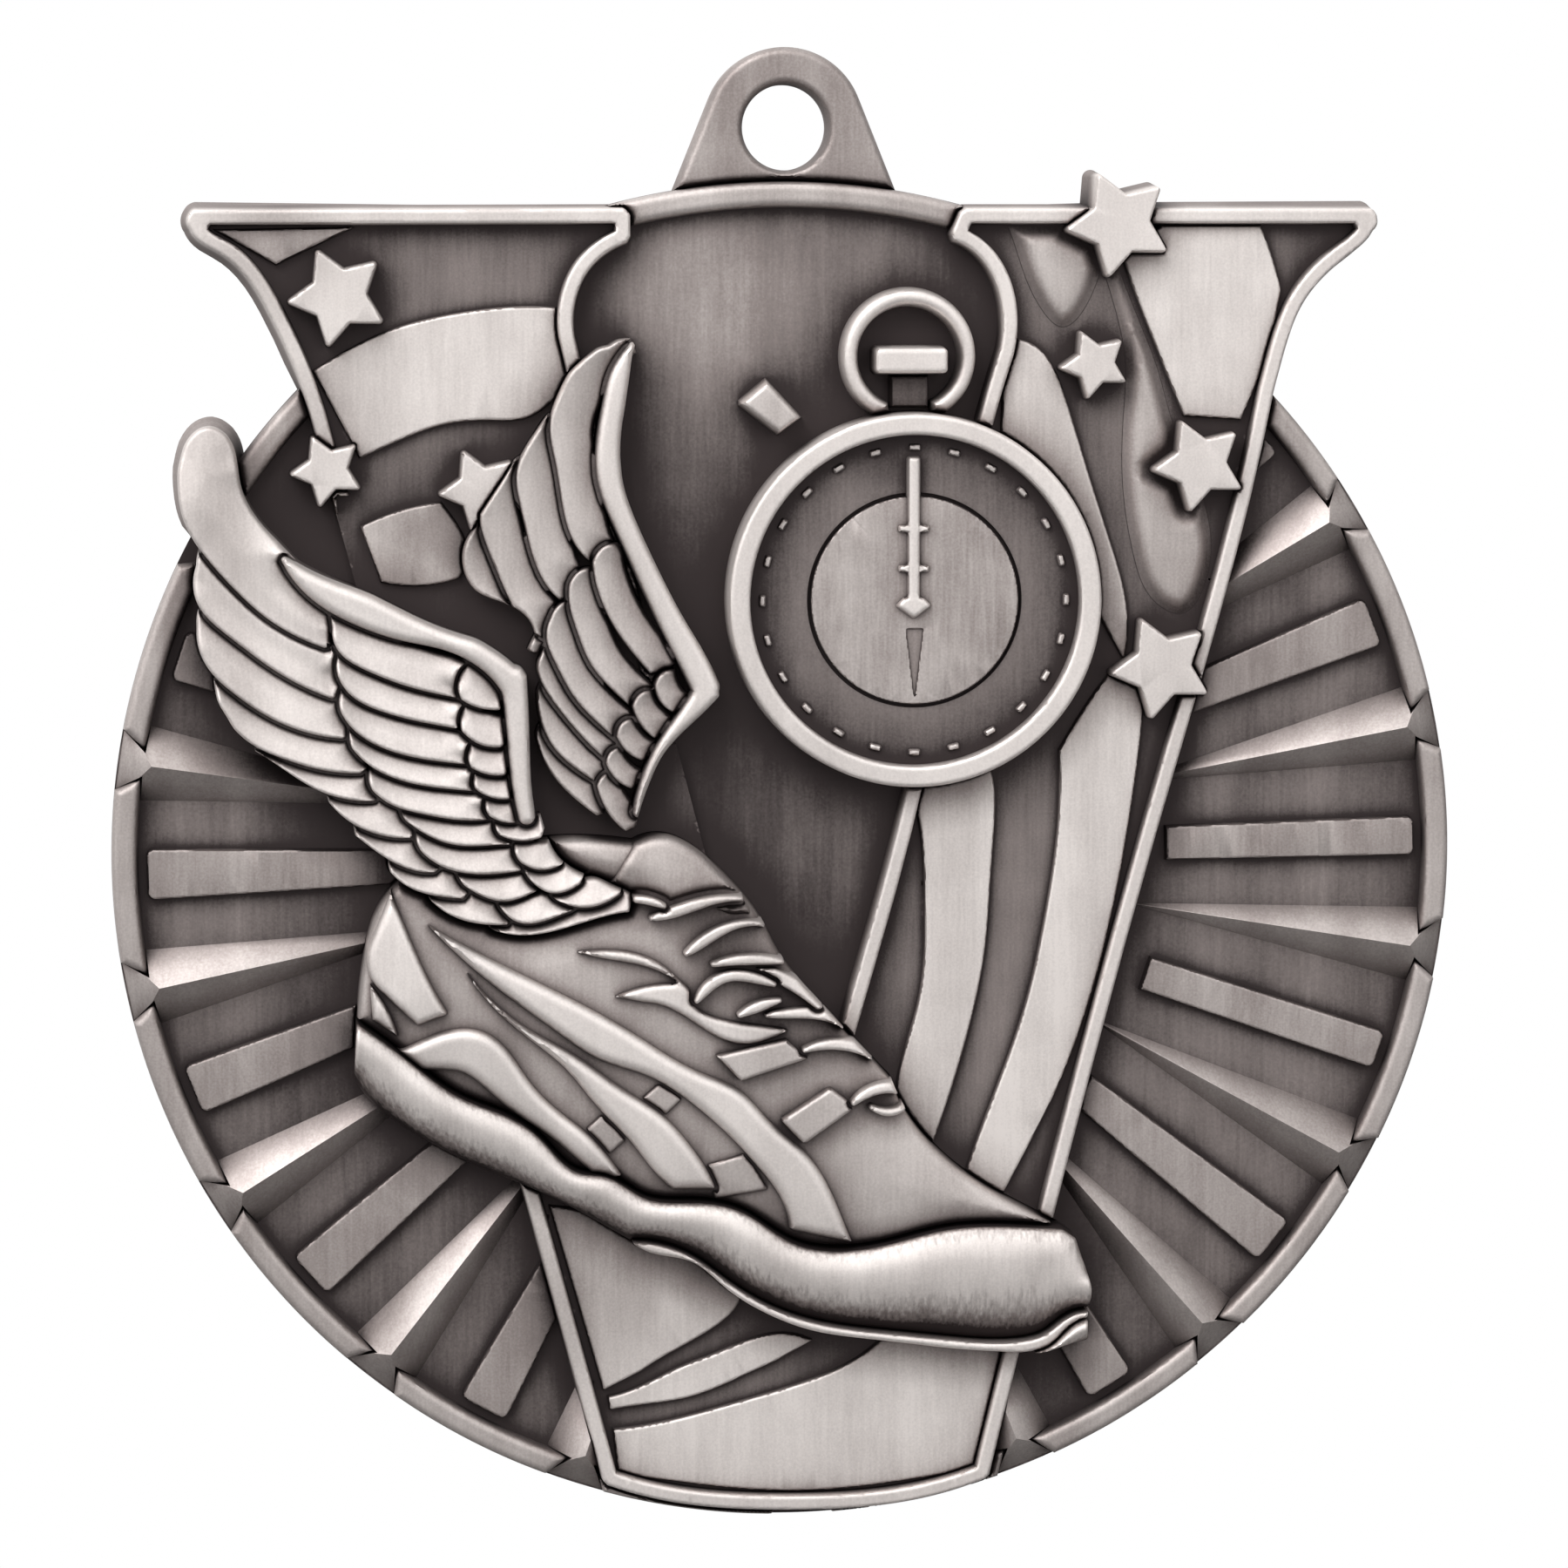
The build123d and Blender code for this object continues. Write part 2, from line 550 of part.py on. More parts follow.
def near_scapulars():
    return [
        ([(-12.3, 6.1), (-11.7, 5.8), (-10.85, 5.7)], 1.5), ([(-12.3, 4.95), (-11.7, 4.45),
        (-10.8, 4.3)], 1.3),
        ([(-11.95, 3.55), (-11.4, 3.3), (-10.65, 3.25)], 1.2), ([(-11.8, 2.75), (-11.3, 2.45),
        (-10.5, 2.35)], 1.0),
        ([(-11.3, 1.75), (-10.8, 1.5), (-9.9, 1.55)], 1.0), ([(-10.9, 1), (-10.3, 0.8),
        (-9.3, 0.9)], 0.9),
        ([(-10.15, 0), (-9.55, -0.3), (-8.5, -0.1)], 1.1), ([(-9.8, -0.65), (-8.95, -1.2),
        (-7.85, -0.85)], 1.1),
        ([(-8.85, -1.4), (-7.9, -1.75), (-6.35, -1.25)], 1.1),
    ]


def near_bone():
    """Broad leading edge, and the bar it turns down into at the wrist."""
    return [
        [(-18.85, 11.4, 0.15), (-17.25, 10.1, 0.55), (-15.75, 9.4, 0.65), (-14.25, 8.8, 0.55),
            (-12.75, 8.35, 0.45), (-11.45, 7.7, 0.45), (-10.45, 6.8, 0.55)],
        [(-10.35, 6.95, 0.55), (-10.25, 6.1, 0.5), (-10.15, 4.45, 0.45), (-10.05, 2.95, 0.4),
            (-9.85, 1.65, 0.35)],
    ]


# Shoe parts

def upper_line():
    """Line where the upper meets the midsole, heel to toe."""
    return [(-16.55, -5.85), (-16, -6.2), (-13.6, -8.05), (-12.45, -8.85), (-10.55, -9.65),
        (-9.3, -10.55), (-7.9, -11.8), (-6.95, -11.95), (-6.2, -12.35), (-5.45, -12.8), (-3.45, -13),
        (-1.65, -13.45), (0.2, -14.6), (1.5, -14.9), (3.8, -14.7), (5.85, -14.2), (10.2, -14.2)]


def shoe_upper_area():
    below = outline(upper_line(), [(13.05, -14.2)], [(13.05, -21.05)], [(-17.35, -21.05)],
                    [(-17.35, -5.85)])
    return cleaned(shoe() - below)


def shoe_midsole_area():
    """Swelling side of the sole, down to the outsole edge."""
    return cut(shoe(), shoe_upper_area(), outsole_edge_area())


def outsole_edge_area():
    edge = blade([(-5.85, -14.6, 0.15), (-4.65, -14.9, 0.25), (-3.65, -15.35, 0.25),
        (-2.5, -16.2, 0.25), (-1, -17.15, 0.25), (0.65, -17.8, 0.25), (3.4, -18.3, 0.25),
        (6, -18.6, 0.25), (8.95, -18.7, 0.25), (9.85, -18.45, 0.25), (10.5, -17.9, 0.2),
        (11.4, -17.5, 0.15)])
    return edge & shoe()


def side_bands():
    first = outline([(-13.9, -2.1), (-12.1, -3.15), (-5.85, -6.5), (-3.35, -8), (-1.85, -8.7),
        (-0.65, -9.95), (0.55, -11), (1.45, -12.25), (1.95, -13.35)], [(2.5, -14.7)],
                    [(0, -14.15), (-0.4, -12.8), (-1.05, -11.9), (-2.15, -10.65), (-3.7, -9.25),
                        (-5.45, -8.15), (-7.05, -7.6), (-8.75, -6.5), (-11.4, -4.5)])
    second = outline([(-12.4, -3.7), (-11.45, -4.9), (-10, -6.15), (-7.9, -7.4), (-6.4, -8.5),
        (-4.55, -9.8), (-3.7, -10.8), (-3, -11.85)], [(-2.7, -12.55)],
                     [(-4.4, -12.55), (-4.95, -12.05), (-6.05, -10.65), (-7.35, -9.25), (-8.4, -7.95),
                         (-10, -6.6), (-11.05, -5.65)])
    heel = outline([(-14.8, -7.15), (-13.65, -6.6), (-12.4, -6.25), (-11.45, -6.4), (-10.75, -6.9),
        (-9.75, -8.3), (-8.4, -9.65), (-7.7, -10.2), (-6.95, -11)], [(-6.25, -12)],
                   [(-7.1, -12.2), (-8.1, -11.3), (-9.1, -10.45), (-10.65, -9.35), (-11.7, -8.4),
                       (-12.3, -8), (-13.4, -7.9)])
    return joined([first, second, heel])


def band_rungs():
    """Pads that cross the windows between the bands."""
    lower = polygon((-8.1, -10.5), (-6.6, -9.1), (-5.6, -10.15), (-7.2, -11.6))
    middle = polygon((-6.3, -9.6), (-4.65, -8.15), (-3.75, -8.85), (-5.3, -10.35))
    upper = polygon((-3.3, -11.6), (-1.6, -11.1), (-0.7, -12.6), (-2.8, -13.0))
    return cut(joined([lower, middle, upper]), side_bands())


def eyestay():
    """Reinforcement beside the laces, with two tails that sweep back to the heel."""
    return outline([(-8.2, -3.4), (-6.9, -3.3), (-5.3, -3.6)], [(-4.4, -4.2)],
                   [(-3.65, -4.9), (-1.85, -6.1), (0, -6.45)], [(-1.15, -7), (-2.8, -6.7), (-4.1, -5.85)],
                   [(-5.45, -5.4)], [(-6.7, -5.15), (-5.45, -4.7)],
                   [(-4.3, -4.6), (-5.6, -4.0), (-6.9, -3.75)])


def laces():
    return [
        [(-6.1, -1.45, 0.15), (-5.3, -1.5, 0.2), (-4.7, -1.7, 0.15)],
        [(-5.2, -2.15, 0.15), (-4.45, -1.95, 0.25), (-3.5, -1.65, 0.25), (-1.8, -1.45, 0.15)],
        [(-3.9, -3.5, 0.15), (-3.35, -3.1, 0.25), (-2.6, -2.65, 0.25), (-0.9, -2.45, 0.15)],
        [(-2.9, -3.9, 0.15), (-1.75, -3.75, 0.25), (-0.25, -3.85, 0.15)],
        [(-3.5, -5.3, 0.15), (-3.1, -4.8, 0.25), (-2.45, -4.4, 0.25), (-1.5, -4.4, 0.25),
            (-0.55, -4.7, 0.15)],
        [(-1.05, -4.15, 0.25), (0.2, -4.75, 0.3), (1.15, -5.5, 0.25)],
        [(-1.9, -5.85, 0.15), (-1.25, -5.55, 0.25), (-0.35, -5.3, 0.15)],
        [(-0.85, -5.85, 0.15), (0.35, -5.8, 0.25), (1.3, -5.9, 0.25), (2.1, -6.35, 0.15)],
        [(0.55, -7.2, 0.15), (1.6, -7, 0.25), (2.55, -7.15, 0.25), (3.2, -7.55, 0.15)],
        [(2.4, -9.25, 0.15), (3.1, -8.8, 0.25), (4.1, -8.75, 0.25), (4.6, -9.2, 0.2)],
        [(4.45, -9.4, 0.15), (3.95, -9.6, 0.2), (3.1, -9.4, 0.15)],
    ]


def lace_straps():
    upper = polygon((-2.85, -7.35), (-0.1, -6.75), (0.8, -7.55), (-1.85, -8.4))
    lower = polygon((-0.4, -9.85), (1.55, -8.6), (2.6, -9.4), (0.55, -10.85))
    return joined([upper, lower])


def heel_tab():
    tab = outline([(-14.95, -1.05), (-14.4, -2.35), (-13.9, -3.55)], [(-12.75, -5.75)], [(-14, -6.2)],
                  [(-15.2, -5.05), (-15.9, -3.9)], [(-15.8, -3.1)])
    counter = outline([(-15.8, -4.45), (-15.05, -5.5)], [(-14.65, -6.7)], [(-15.7, -5.95)])
    return joined([tab, counter])


# Build the pieces from the top layer down, cutting each by what lies over it

def build_shoe(pieces):
    upper = shoe_upper_area()
    midsole = shoe_midsole_area()
    edge = outsole_edge_area()
    tongue = outline([(-5.85, 0.65), (-4.5, 0.9)], [(-3.05, 0.05), (-2.3, -0.75), (-1.4, -1.9)],
                     [(-3.45, -1.7), (-5.45, -1.55)], [(-6.75, -0.85)])
    wing = near_wing()
    stay = eyestay()
    strings = shingled(laces(), wing) & upper
    tongue_area = cut(tongue & upper, wing, widened(laces()))
    pieces["shoe_upper"] = column(cut(upper, wing), DISC_T, SHOE_TOP)
    pieces["shoe_midsole"] = seated(midsole, MIDSOLE_TOP)
    pieces["outsole_edge"] = seated(edge, OUTSOLE_TOP)
    pieces["shoe_tongue"] = column(tongue_area, SHOE_TOP, SHOE_TOP + 0.2)
    bands = side_bands() & upper
    tab = heel_tab() & upper
    straps = cut(lace_straps() & upper, widened(laces()), bands)
    pieces["side_bands"] = column(cut(bands, wing), SHOE_TOP, OVERLAY_TOP)
    pieces["band_rungs"] = column(band_rungs() & upper, SHOE_TOP, SHOE_TOP + 0.2)
    pieces["heel_tab"] = column(cut(tab, wing, bands), SHOE_TOP, OVERLAY_TOP)
    pieces["eyestay"] = column(cut(stay & upper, wing, bands, straps, widened(laces())),
                               SHOE_TOP, OVERLAY_TOP - 0.1)
    pieces["shoe_laces"] = column(strings, SHOE_TOP, LACE_TOP)
    pieces["lace_straps"] = column(straps, SHOE_TOP, LACE_TOP - 0.1)


def build_wings(pieces):
    near = near_wing()
    far = cut(far_wing(), near, shoe())
    pieces["near_wing_base"] = seated(near, NEAR_BASE_TOP)
    bone = widened(near_bone())
    small = grooved(near_scapulars())
    middle = grooved(near_coverts())
    primaries = overlapped(near_primaries(), plume, bone, small, middle, wing_tip(GAP))
    primaries = primaries + cut(wing_tip(), bone, middle)
    areas = {
        "near_wing_bone": (joined([blade(row) for row in near_bone()]), NEAR_BONE_TOP),
        "near_wing_scapulars": (overlapped(near_scapulars(), plume, bone), NEAR_COVERT_TOP),
        "near_wing_coverts": (overlapped(near_coverts(), plume, bone, small), NEAR_COVERT_TOP),
        "near_wing_primaries": (primaries, NEAR_FEATHER_TOP),
    }
    for name, (area, top) in areas.items():
        pieces[name] = column(area & near, NEAR_BASE_TOP, top)
    pieces["far_wing_base"] = seated(far, FAR_BASE_TOP)
    bone = widened(far_bone())
    small = grooved(far_scapulars())
    middle = grooved(far_coverts())
    areas = {
        "far_wing_bone": (joined([blade(row) for row in far_bone()]), FAR_BONE_TOP),
        "far_wing_scapulars": (overlapped(far_scapulars(), plume, bone), FAR_FEATHER_TOP),
        "far_wing_coverts": (overlapped(far_coverts(), plume, bone, small), FAR_FEATHER_TOP),
        "far_wing_primaries": (overlapped(far_primaries(), plume, bone, small, middle),
                               FAR_FEATHER_TOP),
    }
    for name, (area, top) in areas.items():
        pieces[name] = column(area & far, FAR_BASE_TOP, top)
    return near + far


def dial_ticks():
    """Small pads around the dial."""
    ticks = []
    for k in range(TICK_COUNT):
        tick = Pos(TICK_R, 0) * RectangleRounded(0.3, 0.5, 0.1)
        ticks.append(Rot(0, 0, 90 + 360 / TICK_COUNT * k) * tick)
    return Pos(WATCH_X, WATCH_Z) * joined(ticks)


def watch_hand():
    """Second hand with two knobs and a pointed hub."""
    x = WATCH_X - 0.05
    shaft = Pos(x, WATCH_Z + 2.6) * RectangleRounded(0.55, 5.7, 0.15)
    knob = RectangleRounded(1.25, 0.34, 0.12)
    hub = polygon((x - 0.75, WATCH_Z - 0.2), (x, WATCH_Z - 0.75), (x + 0.75, WATCH_Z - 0.2),
                  (x + 0.4, WATCH_Z + 0.15), (x - 0.4, WATCH_Z + 0.15))
    return joined([shaft, Pos(x, WATCH_Z + 2.7) * knob, Pos(x, WATCH_Z + 1.2) * knob, hub])


def build_watch(pieces):
    place = Pos(WATCH_X, WATCH_Z)
    face = place * Circle(BEZEL_INNER)
    bezel = place * Circle(BEZEL_OUTER) - face
    step = place * Circle(DIAL_STEP_R)
    crown = watch_crown()
    stem = cut(watch_stem(), crown)
    bow = cut(watch_bow(), crown, stem)
    pieces["stopwatch_bezel"] = column(bezel, DISC_T, BEZEL_TOP)
    pieces["stopwatch_dial"] = column(face, DISC_T, DIAL_TOP)
    pieces["dial_centre"] = column(step, DIAL_TOP, DIAL_STEP_TOP)
    hand = watch_hand()
    inner = column(hand & step, DIAL_STEP_TOP, HAND_TOP)
    outer = column(hand - step, DIAL_TOP, HAND_TOP)
    pieces["stopwatch_hand"] = inner + outer
    ticks = dial_ticks() - hand
    pieces["dial_ticks"] = column(cleaned_ticks(ticks), DIAL_TOP, DIAL_TOP + 0.2)
    pieces["stopwatch_crown"] = column(crown, DISC_T, CROWN_TOP)
    pieces["crown_stem"] = column(stem, DISC_T, 2.2)
    pieces["stopwatch_bow"] = column(bow, DISC_T, 2.7)
    pieces["lap_button"] = column(lap_button(), DISC_T, 2.8)
    return place * Circle(BEZEL_OUTER) + crown + stem + bow + lap_button()


def cleaned_ticks(area):
    """The tick pads without the scraps left beside the hand."""
    return Sketch() + [face for face in area.faces() if face.area > 0.06]


def build_frame(pieces, over):
    whole, edging = v_frame()
    inside = cut(whole, cut(edging, worn_lines()))
    stars_left = cut(left_stars(), over)
    stars_right = cut(right_stars(), over)
    stars = stars_left + stars_right
    border = cut(edging, over, stars, worn_lines())
    left = cut(left_arm_stripes() & inside, over, stars)
    right = cut(right_arm_stripes() & inside, over, stars)
    folds = cut(right_arm_folds() & inside, over, stars, right)
    low = cut(lower_right_stripes() & inside, over, stars)
    base = cut(base_stripes() & inside, over)
    plate = cut(inside, over, stars, left, right, folds, low, base)
    pieces["left_stars"] = seated(stars_left, STAR_TOP)
    pieces["right_stars"] = seated(stars_right, STAR_TOP)
    pieces["v_border"] = seated(border, V_BORDER_TOP)
    pieces["left_stripes"] = seated(left, STRIPE_TOP)
    pieces["right_stripes"] = seated(right, STRIPE_TOP)
    pieces["right_folds"] = seated(folds, STRIPE_TOP)
    pieces["lower_stripes"] = seated(low, STRIPE_TOP)
    pieces["base_stripes"] = seated(base, STRIPE_TOP)
    pieces["v_plate"] = seated(plate, V_PLATE_TOP)
    return whole + stars


def build_rays(pieces, over, notch):
    bars = cut(ray_bars(), over, notch)
    ring = Circle(DISC_R) - Circle(DISC_R - RIM_WIDTH)
    rim = cut(ring, over, cut(pleat_hips(), notch))
    cutter = column(over + notch, 0, CLEAR_TOP)
    wall = column(rim, 0, CLEAR_TOP)
    pleats = [pleat - cutter - wall for pleat in ray_pleats()]
    kept = [solid for pleat in pleats for solid in pleat.solids() if solid.volume > PLEAT_SCRAP]
    pieces["sunburst_bars"] = column(bars, DISC_T, BAR_TOP)
    pieces["sunburst_pleats"] = Compound(kept)
    pieces["disc_rim"] = column(rim, DISC_T, RIM_TOP)


def main():
    os.makedirs("parts", exist_ok=True)
    pieces = {"medal_disc": medal_disc(), "hanger_loop": hanger_loop()}
    build_shoe(pieces)
    over = shoe() + build_wings(pieces)
    over = over + build_watch(pieces)
    over = over + build_frame(pieces, over)
    build_rays(pieces, over, v_notch())
    for name, shape in pieces.items():
        save(name, shape)


main()
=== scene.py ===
import math
import bmesh
import bpy
import numpy as np
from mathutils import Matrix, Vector
from mathutils.geometry import delaunay_2d_cdt


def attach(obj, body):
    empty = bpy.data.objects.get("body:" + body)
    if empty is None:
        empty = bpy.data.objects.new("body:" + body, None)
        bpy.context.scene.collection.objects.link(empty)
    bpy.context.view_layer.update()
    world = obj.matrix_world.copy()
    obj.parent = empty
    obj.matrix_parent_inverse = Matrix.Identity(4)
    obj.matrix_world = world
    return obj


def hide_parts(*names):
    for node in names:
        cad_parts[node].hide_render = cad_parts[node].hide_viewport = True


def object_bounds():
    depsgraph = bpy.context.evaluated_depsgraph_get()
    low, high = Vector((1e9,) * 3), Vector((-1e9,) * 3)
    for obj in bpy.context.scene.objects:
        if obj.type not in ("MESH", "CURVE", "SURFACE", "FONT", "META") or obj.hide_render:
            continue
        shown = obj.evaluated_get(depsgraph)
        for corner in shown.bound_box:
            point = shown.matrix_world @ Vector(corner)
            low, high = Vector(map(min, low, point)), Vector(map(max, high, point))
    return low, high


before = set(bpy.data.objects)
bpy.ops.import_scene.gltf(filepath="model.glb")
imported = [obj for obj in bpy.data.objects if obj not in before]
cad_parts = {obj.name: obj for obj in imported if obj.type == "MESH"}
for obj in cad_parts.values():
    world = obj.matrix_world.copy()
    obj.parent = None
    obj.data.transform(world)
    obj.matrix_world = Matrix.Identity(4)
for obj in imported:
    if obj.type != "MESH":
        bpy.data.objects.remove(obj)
cad_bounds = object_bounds()

# Plan coordinates are millimetres: x across, z up, height h from the back towards the viewer.
MM = 0.001
DISC_R = 25.4
WATCH = (4.8, 9.7)

# Heights. FIELD is the disc's face. A piece that stands on it starts at SUNK, just inside the
# disc, and its side leans in from FOOT. A piece that reaches past the disc's edge starts deeper,
# at BURIED, and BACKING is the top of the solid that fills its overhang from behind.
FIELD = 1.5
SUNK = 1.45
FOOT = 1.46
BURIED = 1.0
BACKING = FIELD - 0.04

# Tolerances in mm, except WELD, which is in metres. Terms such as 1e-12 in the sums below only
# keep them from dividing by zero.
EPS = 1e-6
LEVEL = 1e-3
SNAP = 1e-5
ON_EDGE = 1e-4
WELD = 1e-7
# Points handled at a time, to save memory.
BLOCK = 2000


# Outlines read from the CAD solids

def islands(node):
    """The triangles of each separate solid of a CAD node, in mm, in the order of its mesh."""
    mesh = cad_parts[node].data
    bm = bmesh.new()
    bm.from_mesh(mesh)
    bmesh.ops.remove_doubles(bm, verts=bm.verts, dist=WELD)
    seen = set()
    groups = []
    for seed in bm.faces:
        if seed in seen:
            continue
        seen.add(seed)
        stack = [seed]
        group = [seed]
        while stack:
            face = stack.pop()
            for edge in face.edges:
                for other in edge.link_faces:
                    if other not in seen:
                        seen.add(other)
                        stack.append(other)
                        group.append(other)
        groups.append([[(v.co.x / MM, v.co.z / MM, -v.co.y / MM) for v in f.verts]
                       for f in group])
    bm.free()
    return groups


def key(point):
    """The plan point, rounded so that equal corners match."""
    return (round(point[0], 4), round(point[1], 4))


def outlines(triangles):
    """Closed plan outlines of the solid's front face, and the height of that face."""
    top = max(p[2] for t in triangles for p in t)
    return rims([t for t in triangles if min(p[2] for p in t) > top - LEVEL]), top


def overhang(triangles):
    """Closed plan outlines of what the solid shows at the back, past the edge of the disc."""
    return rims([t for t in triangles if max(p[2] for p in t) < LEVEL])


def rims(triangles):
    """Closed plan outlines round a patch of triangles."""
    after = {}
    for tri in triangles:
        for a, b in zip(tri, tri[1:] + tri[:1]):
            start, end = key(a), key(b)
            if start == end:
                continue
            if after.get(end, {}).pop(start, None) is None:
                after.setdefault(start, {})[end] = True
    loops = []
    while any(after.values()):
        start = next(p for p in after if after[p])
        loop = [start]
        here = start
        while True:
            following = after[here]
            there = next(iter(following))
            del following[there]
            if there == start:
                break
            loop.append(there)
            here = there
        if len(loop) > 2:
            loops.append(np.array(loop))
    return loops


STRAIGHT_RUN = 1.5
STRAIGHT_RATIO = 4
# Points nearer than this to the one before are left out.
CLOSEST = 0.012


def fine(loop, step, corner=28.0):
    """The outline resampled evenly; it stays smooth except where it turns a real corner.

    A side longer than STRAIGHT_RUN, or much longer than a neighbour, is taken as straight."""
    count = len(loop)
    before = loop - np.roll(loop, 1, 0)
    ahead = np.roll(loop, -1, 0) - loop
    length_b = np.linalg.norm(before, axis=1)
    length_a = np.linalg.norm(ahead, axis=1)
    cosine = np.clip((before * ahead).sum(1) / (length_b * length_a + 1e-12), -1, 1)
    sharp = np.degrees(np.arccos(cosine)) > corner
    tangent = (before * (length_a / (length_b + 1e-9))[:, None]
               + ahead * (length_b / (length_a + 1e-9))[:, None]) / (length_a + length_b)[:, None]
    points = []
    for i in range(count):
        j = (i + 1) % count
        p, q, size = loop[i], loop[j], length_a[i]
        pieces = max(1, int(math.ceil(size / step)))
        t0 = ahead[i] / size if sharp[i] else tangent[i]
        t1 = ahead[i] / size if sharp[j] else tangent[j]
        straight = ahead[i] / size
        if size > STRAIGHT_RUN or size > STRAIGHT_RATIO * min(length_b[i], length_a[j]):
            t0 = t1 = straight
        for k in range(pieces):
            t = k / pieces
            h00 = 2 * t ** 3 - 3 * t ** 2 + 1
            h10 = t ** 3 - 2 * t ** 2 + t
            h01 = -2 * t ** 3 + 3 * t ** 2
            h11 = t ** 3 - t ** 2
            points.append(h00 * p + h10 * size * t0 + h01 * q + h11 * size * t1)
    points = np.array(points)
    keep = np.linalg.norm(points - np.roll(points, 1, 0), axis=1) > CLOSEST
    return points[keep]


# A side faces a way if at least this share of its outward direction points there.
FACING_SHARE = 0.3
# Distance that stands for an outline with no side that faces the way.
FAR_AWAY = 1e3


def edge_distance(points, loops, facing=None):
    """Distance of each point from the nearest outline, or from the part of it that faces a way."""
    starts = np.concatenate(loops)
    ends = np.concatenate([np.roll(loop, -1, 0) for loop in loops])
    run = ends - starts
    if facing is not None:
        outward = run[:, 1] * facing[0] - run[:, 0] * facing[1]
        chosen = outward > FACING_SHARE * np.linalg.norm(run, axis=1)
        if not chosen.any():
            return np.full(len(points), FAR_AWAY)
        starts, run = starts[chosen], run[chosen]
    size = (run ** 2).sum(1) + 1e-12
    best = np.zeros(len(points))
    for low in range(0, len(points), BLOCK):
        block = points[low:low + BLOCK]
        rel = block[:, None, :] - starts[None]
        t = np.clip((rel * run[None]).sum(2) / size[None], 0, 1)
        gap = ((rel - t[..., None] * run[None]) ** 2).sum(2).min(1)
        best[low:low + BLOCK] = np.sqrt(gap)
    return best


def inside(points, loops):
    """True for the points inside the outlines, holes taken out."""
    result = np.zeros(len(points), bool)
    for loop in loops:
        x0, z0 = loop[:, 0], loop[:, 1]
        x1, z1 = np.roll(x0, -1), np.roll(z0, -1)
        for low in range(0, len(points), BLOCK):
            block = points[low:low + BLOCK]
            px, pz = block[:, 0][:, None], block[:, 1][:, None]
            cross = ((z0 > pz) != (z1 > pz)) & (
                px < (x1 - x0) * (pz - z0) / (z1 - z0 + 1e-15) + x0)
            result[low:low + BLOCK] ^= (cross.sum(1) % 2).astype(bool)
    return result


def turning(a, b, c):
    """Positive where the corner from a over b to c turns left."""
    return ((b[..., 0] - a[..., 0]) * (c[..., 1] - a[..., 1])
            - (b[..., 1] - a[..., 1]) * (c[..., 0] - a[..., 0]))


def triangulate(points, loops):
    """Triangles over the points that keep to the outlines."""
    edges = []
    first = 0
    for loop in loops:
        size = len(loop)
        edges += [(first + i, first + (i + 1) % size) for i in range(size)]
        first += size
    verts, _, faces, _, _, _ = delaunay_2d_cdt([Vector(p) for p in points], edges, [], 0, SNAP)
    verts = np.array([[v.x, v.y] for v in verts])
    faces = np.array([f for f in faces if len(f) == 3])
    middle = verts[faces].mean(1)
    faces = faces[inside(middle, loops)]
    turn = turning(verts[faces[:, 0]], verts[faces[:, 1]], verts[faces[:, 2]])
    faces[turn < 0] = faces[turn < 0][:, ::-1]
    return verts, faces


# Rows of a grid of even triangles are this far apart, in steps.
HEX_ROW = 0.866


def hex_grid(low, high, step):
    """Points of a grid of even triangles over a box."""
    rows = np.arange(low[1], high[1], step * HEX_ROW)
    points = []
    for i, z in enumerate(rows):
        xs = np.arange(low[0] + (step / 2 if i % 2 else 0), high[0], step)
        points.append(np.column_stack([xs, np.full(len(xs), z)]))
    return np.concatenate(points) if points else np.zeros((0, 2))


# Rows of points inside an outline: one at the top of the wall, as a share of its width, then
# these over the rolled edge, in radii past the wall.
WALL_ROW = 0.999
ROLL_ROWS = (0.1, 0.3, 0.6, 1.0, 1.35)
# The row of a plumb relief that names no rows.
PLUMB_ROW = 0.1
# A row's point is dropped if another part of the outline is nearer by more than this, as a share
# of its distance and in mm.
ROW_SLACK = 0.15
ROW_MARGIN = 0.002
# Limits of the spacing along an outline, and the cell that keeps one point only.
FINEST = 0.07
COARSEST = 0.16
CELL = 0.045
# Clear strip between the last row and the grid inside, in steps of the grid.
GRID_MARGIN = 0.45
# Least height of a plumb relief over its base.
THINNEST = 0.02


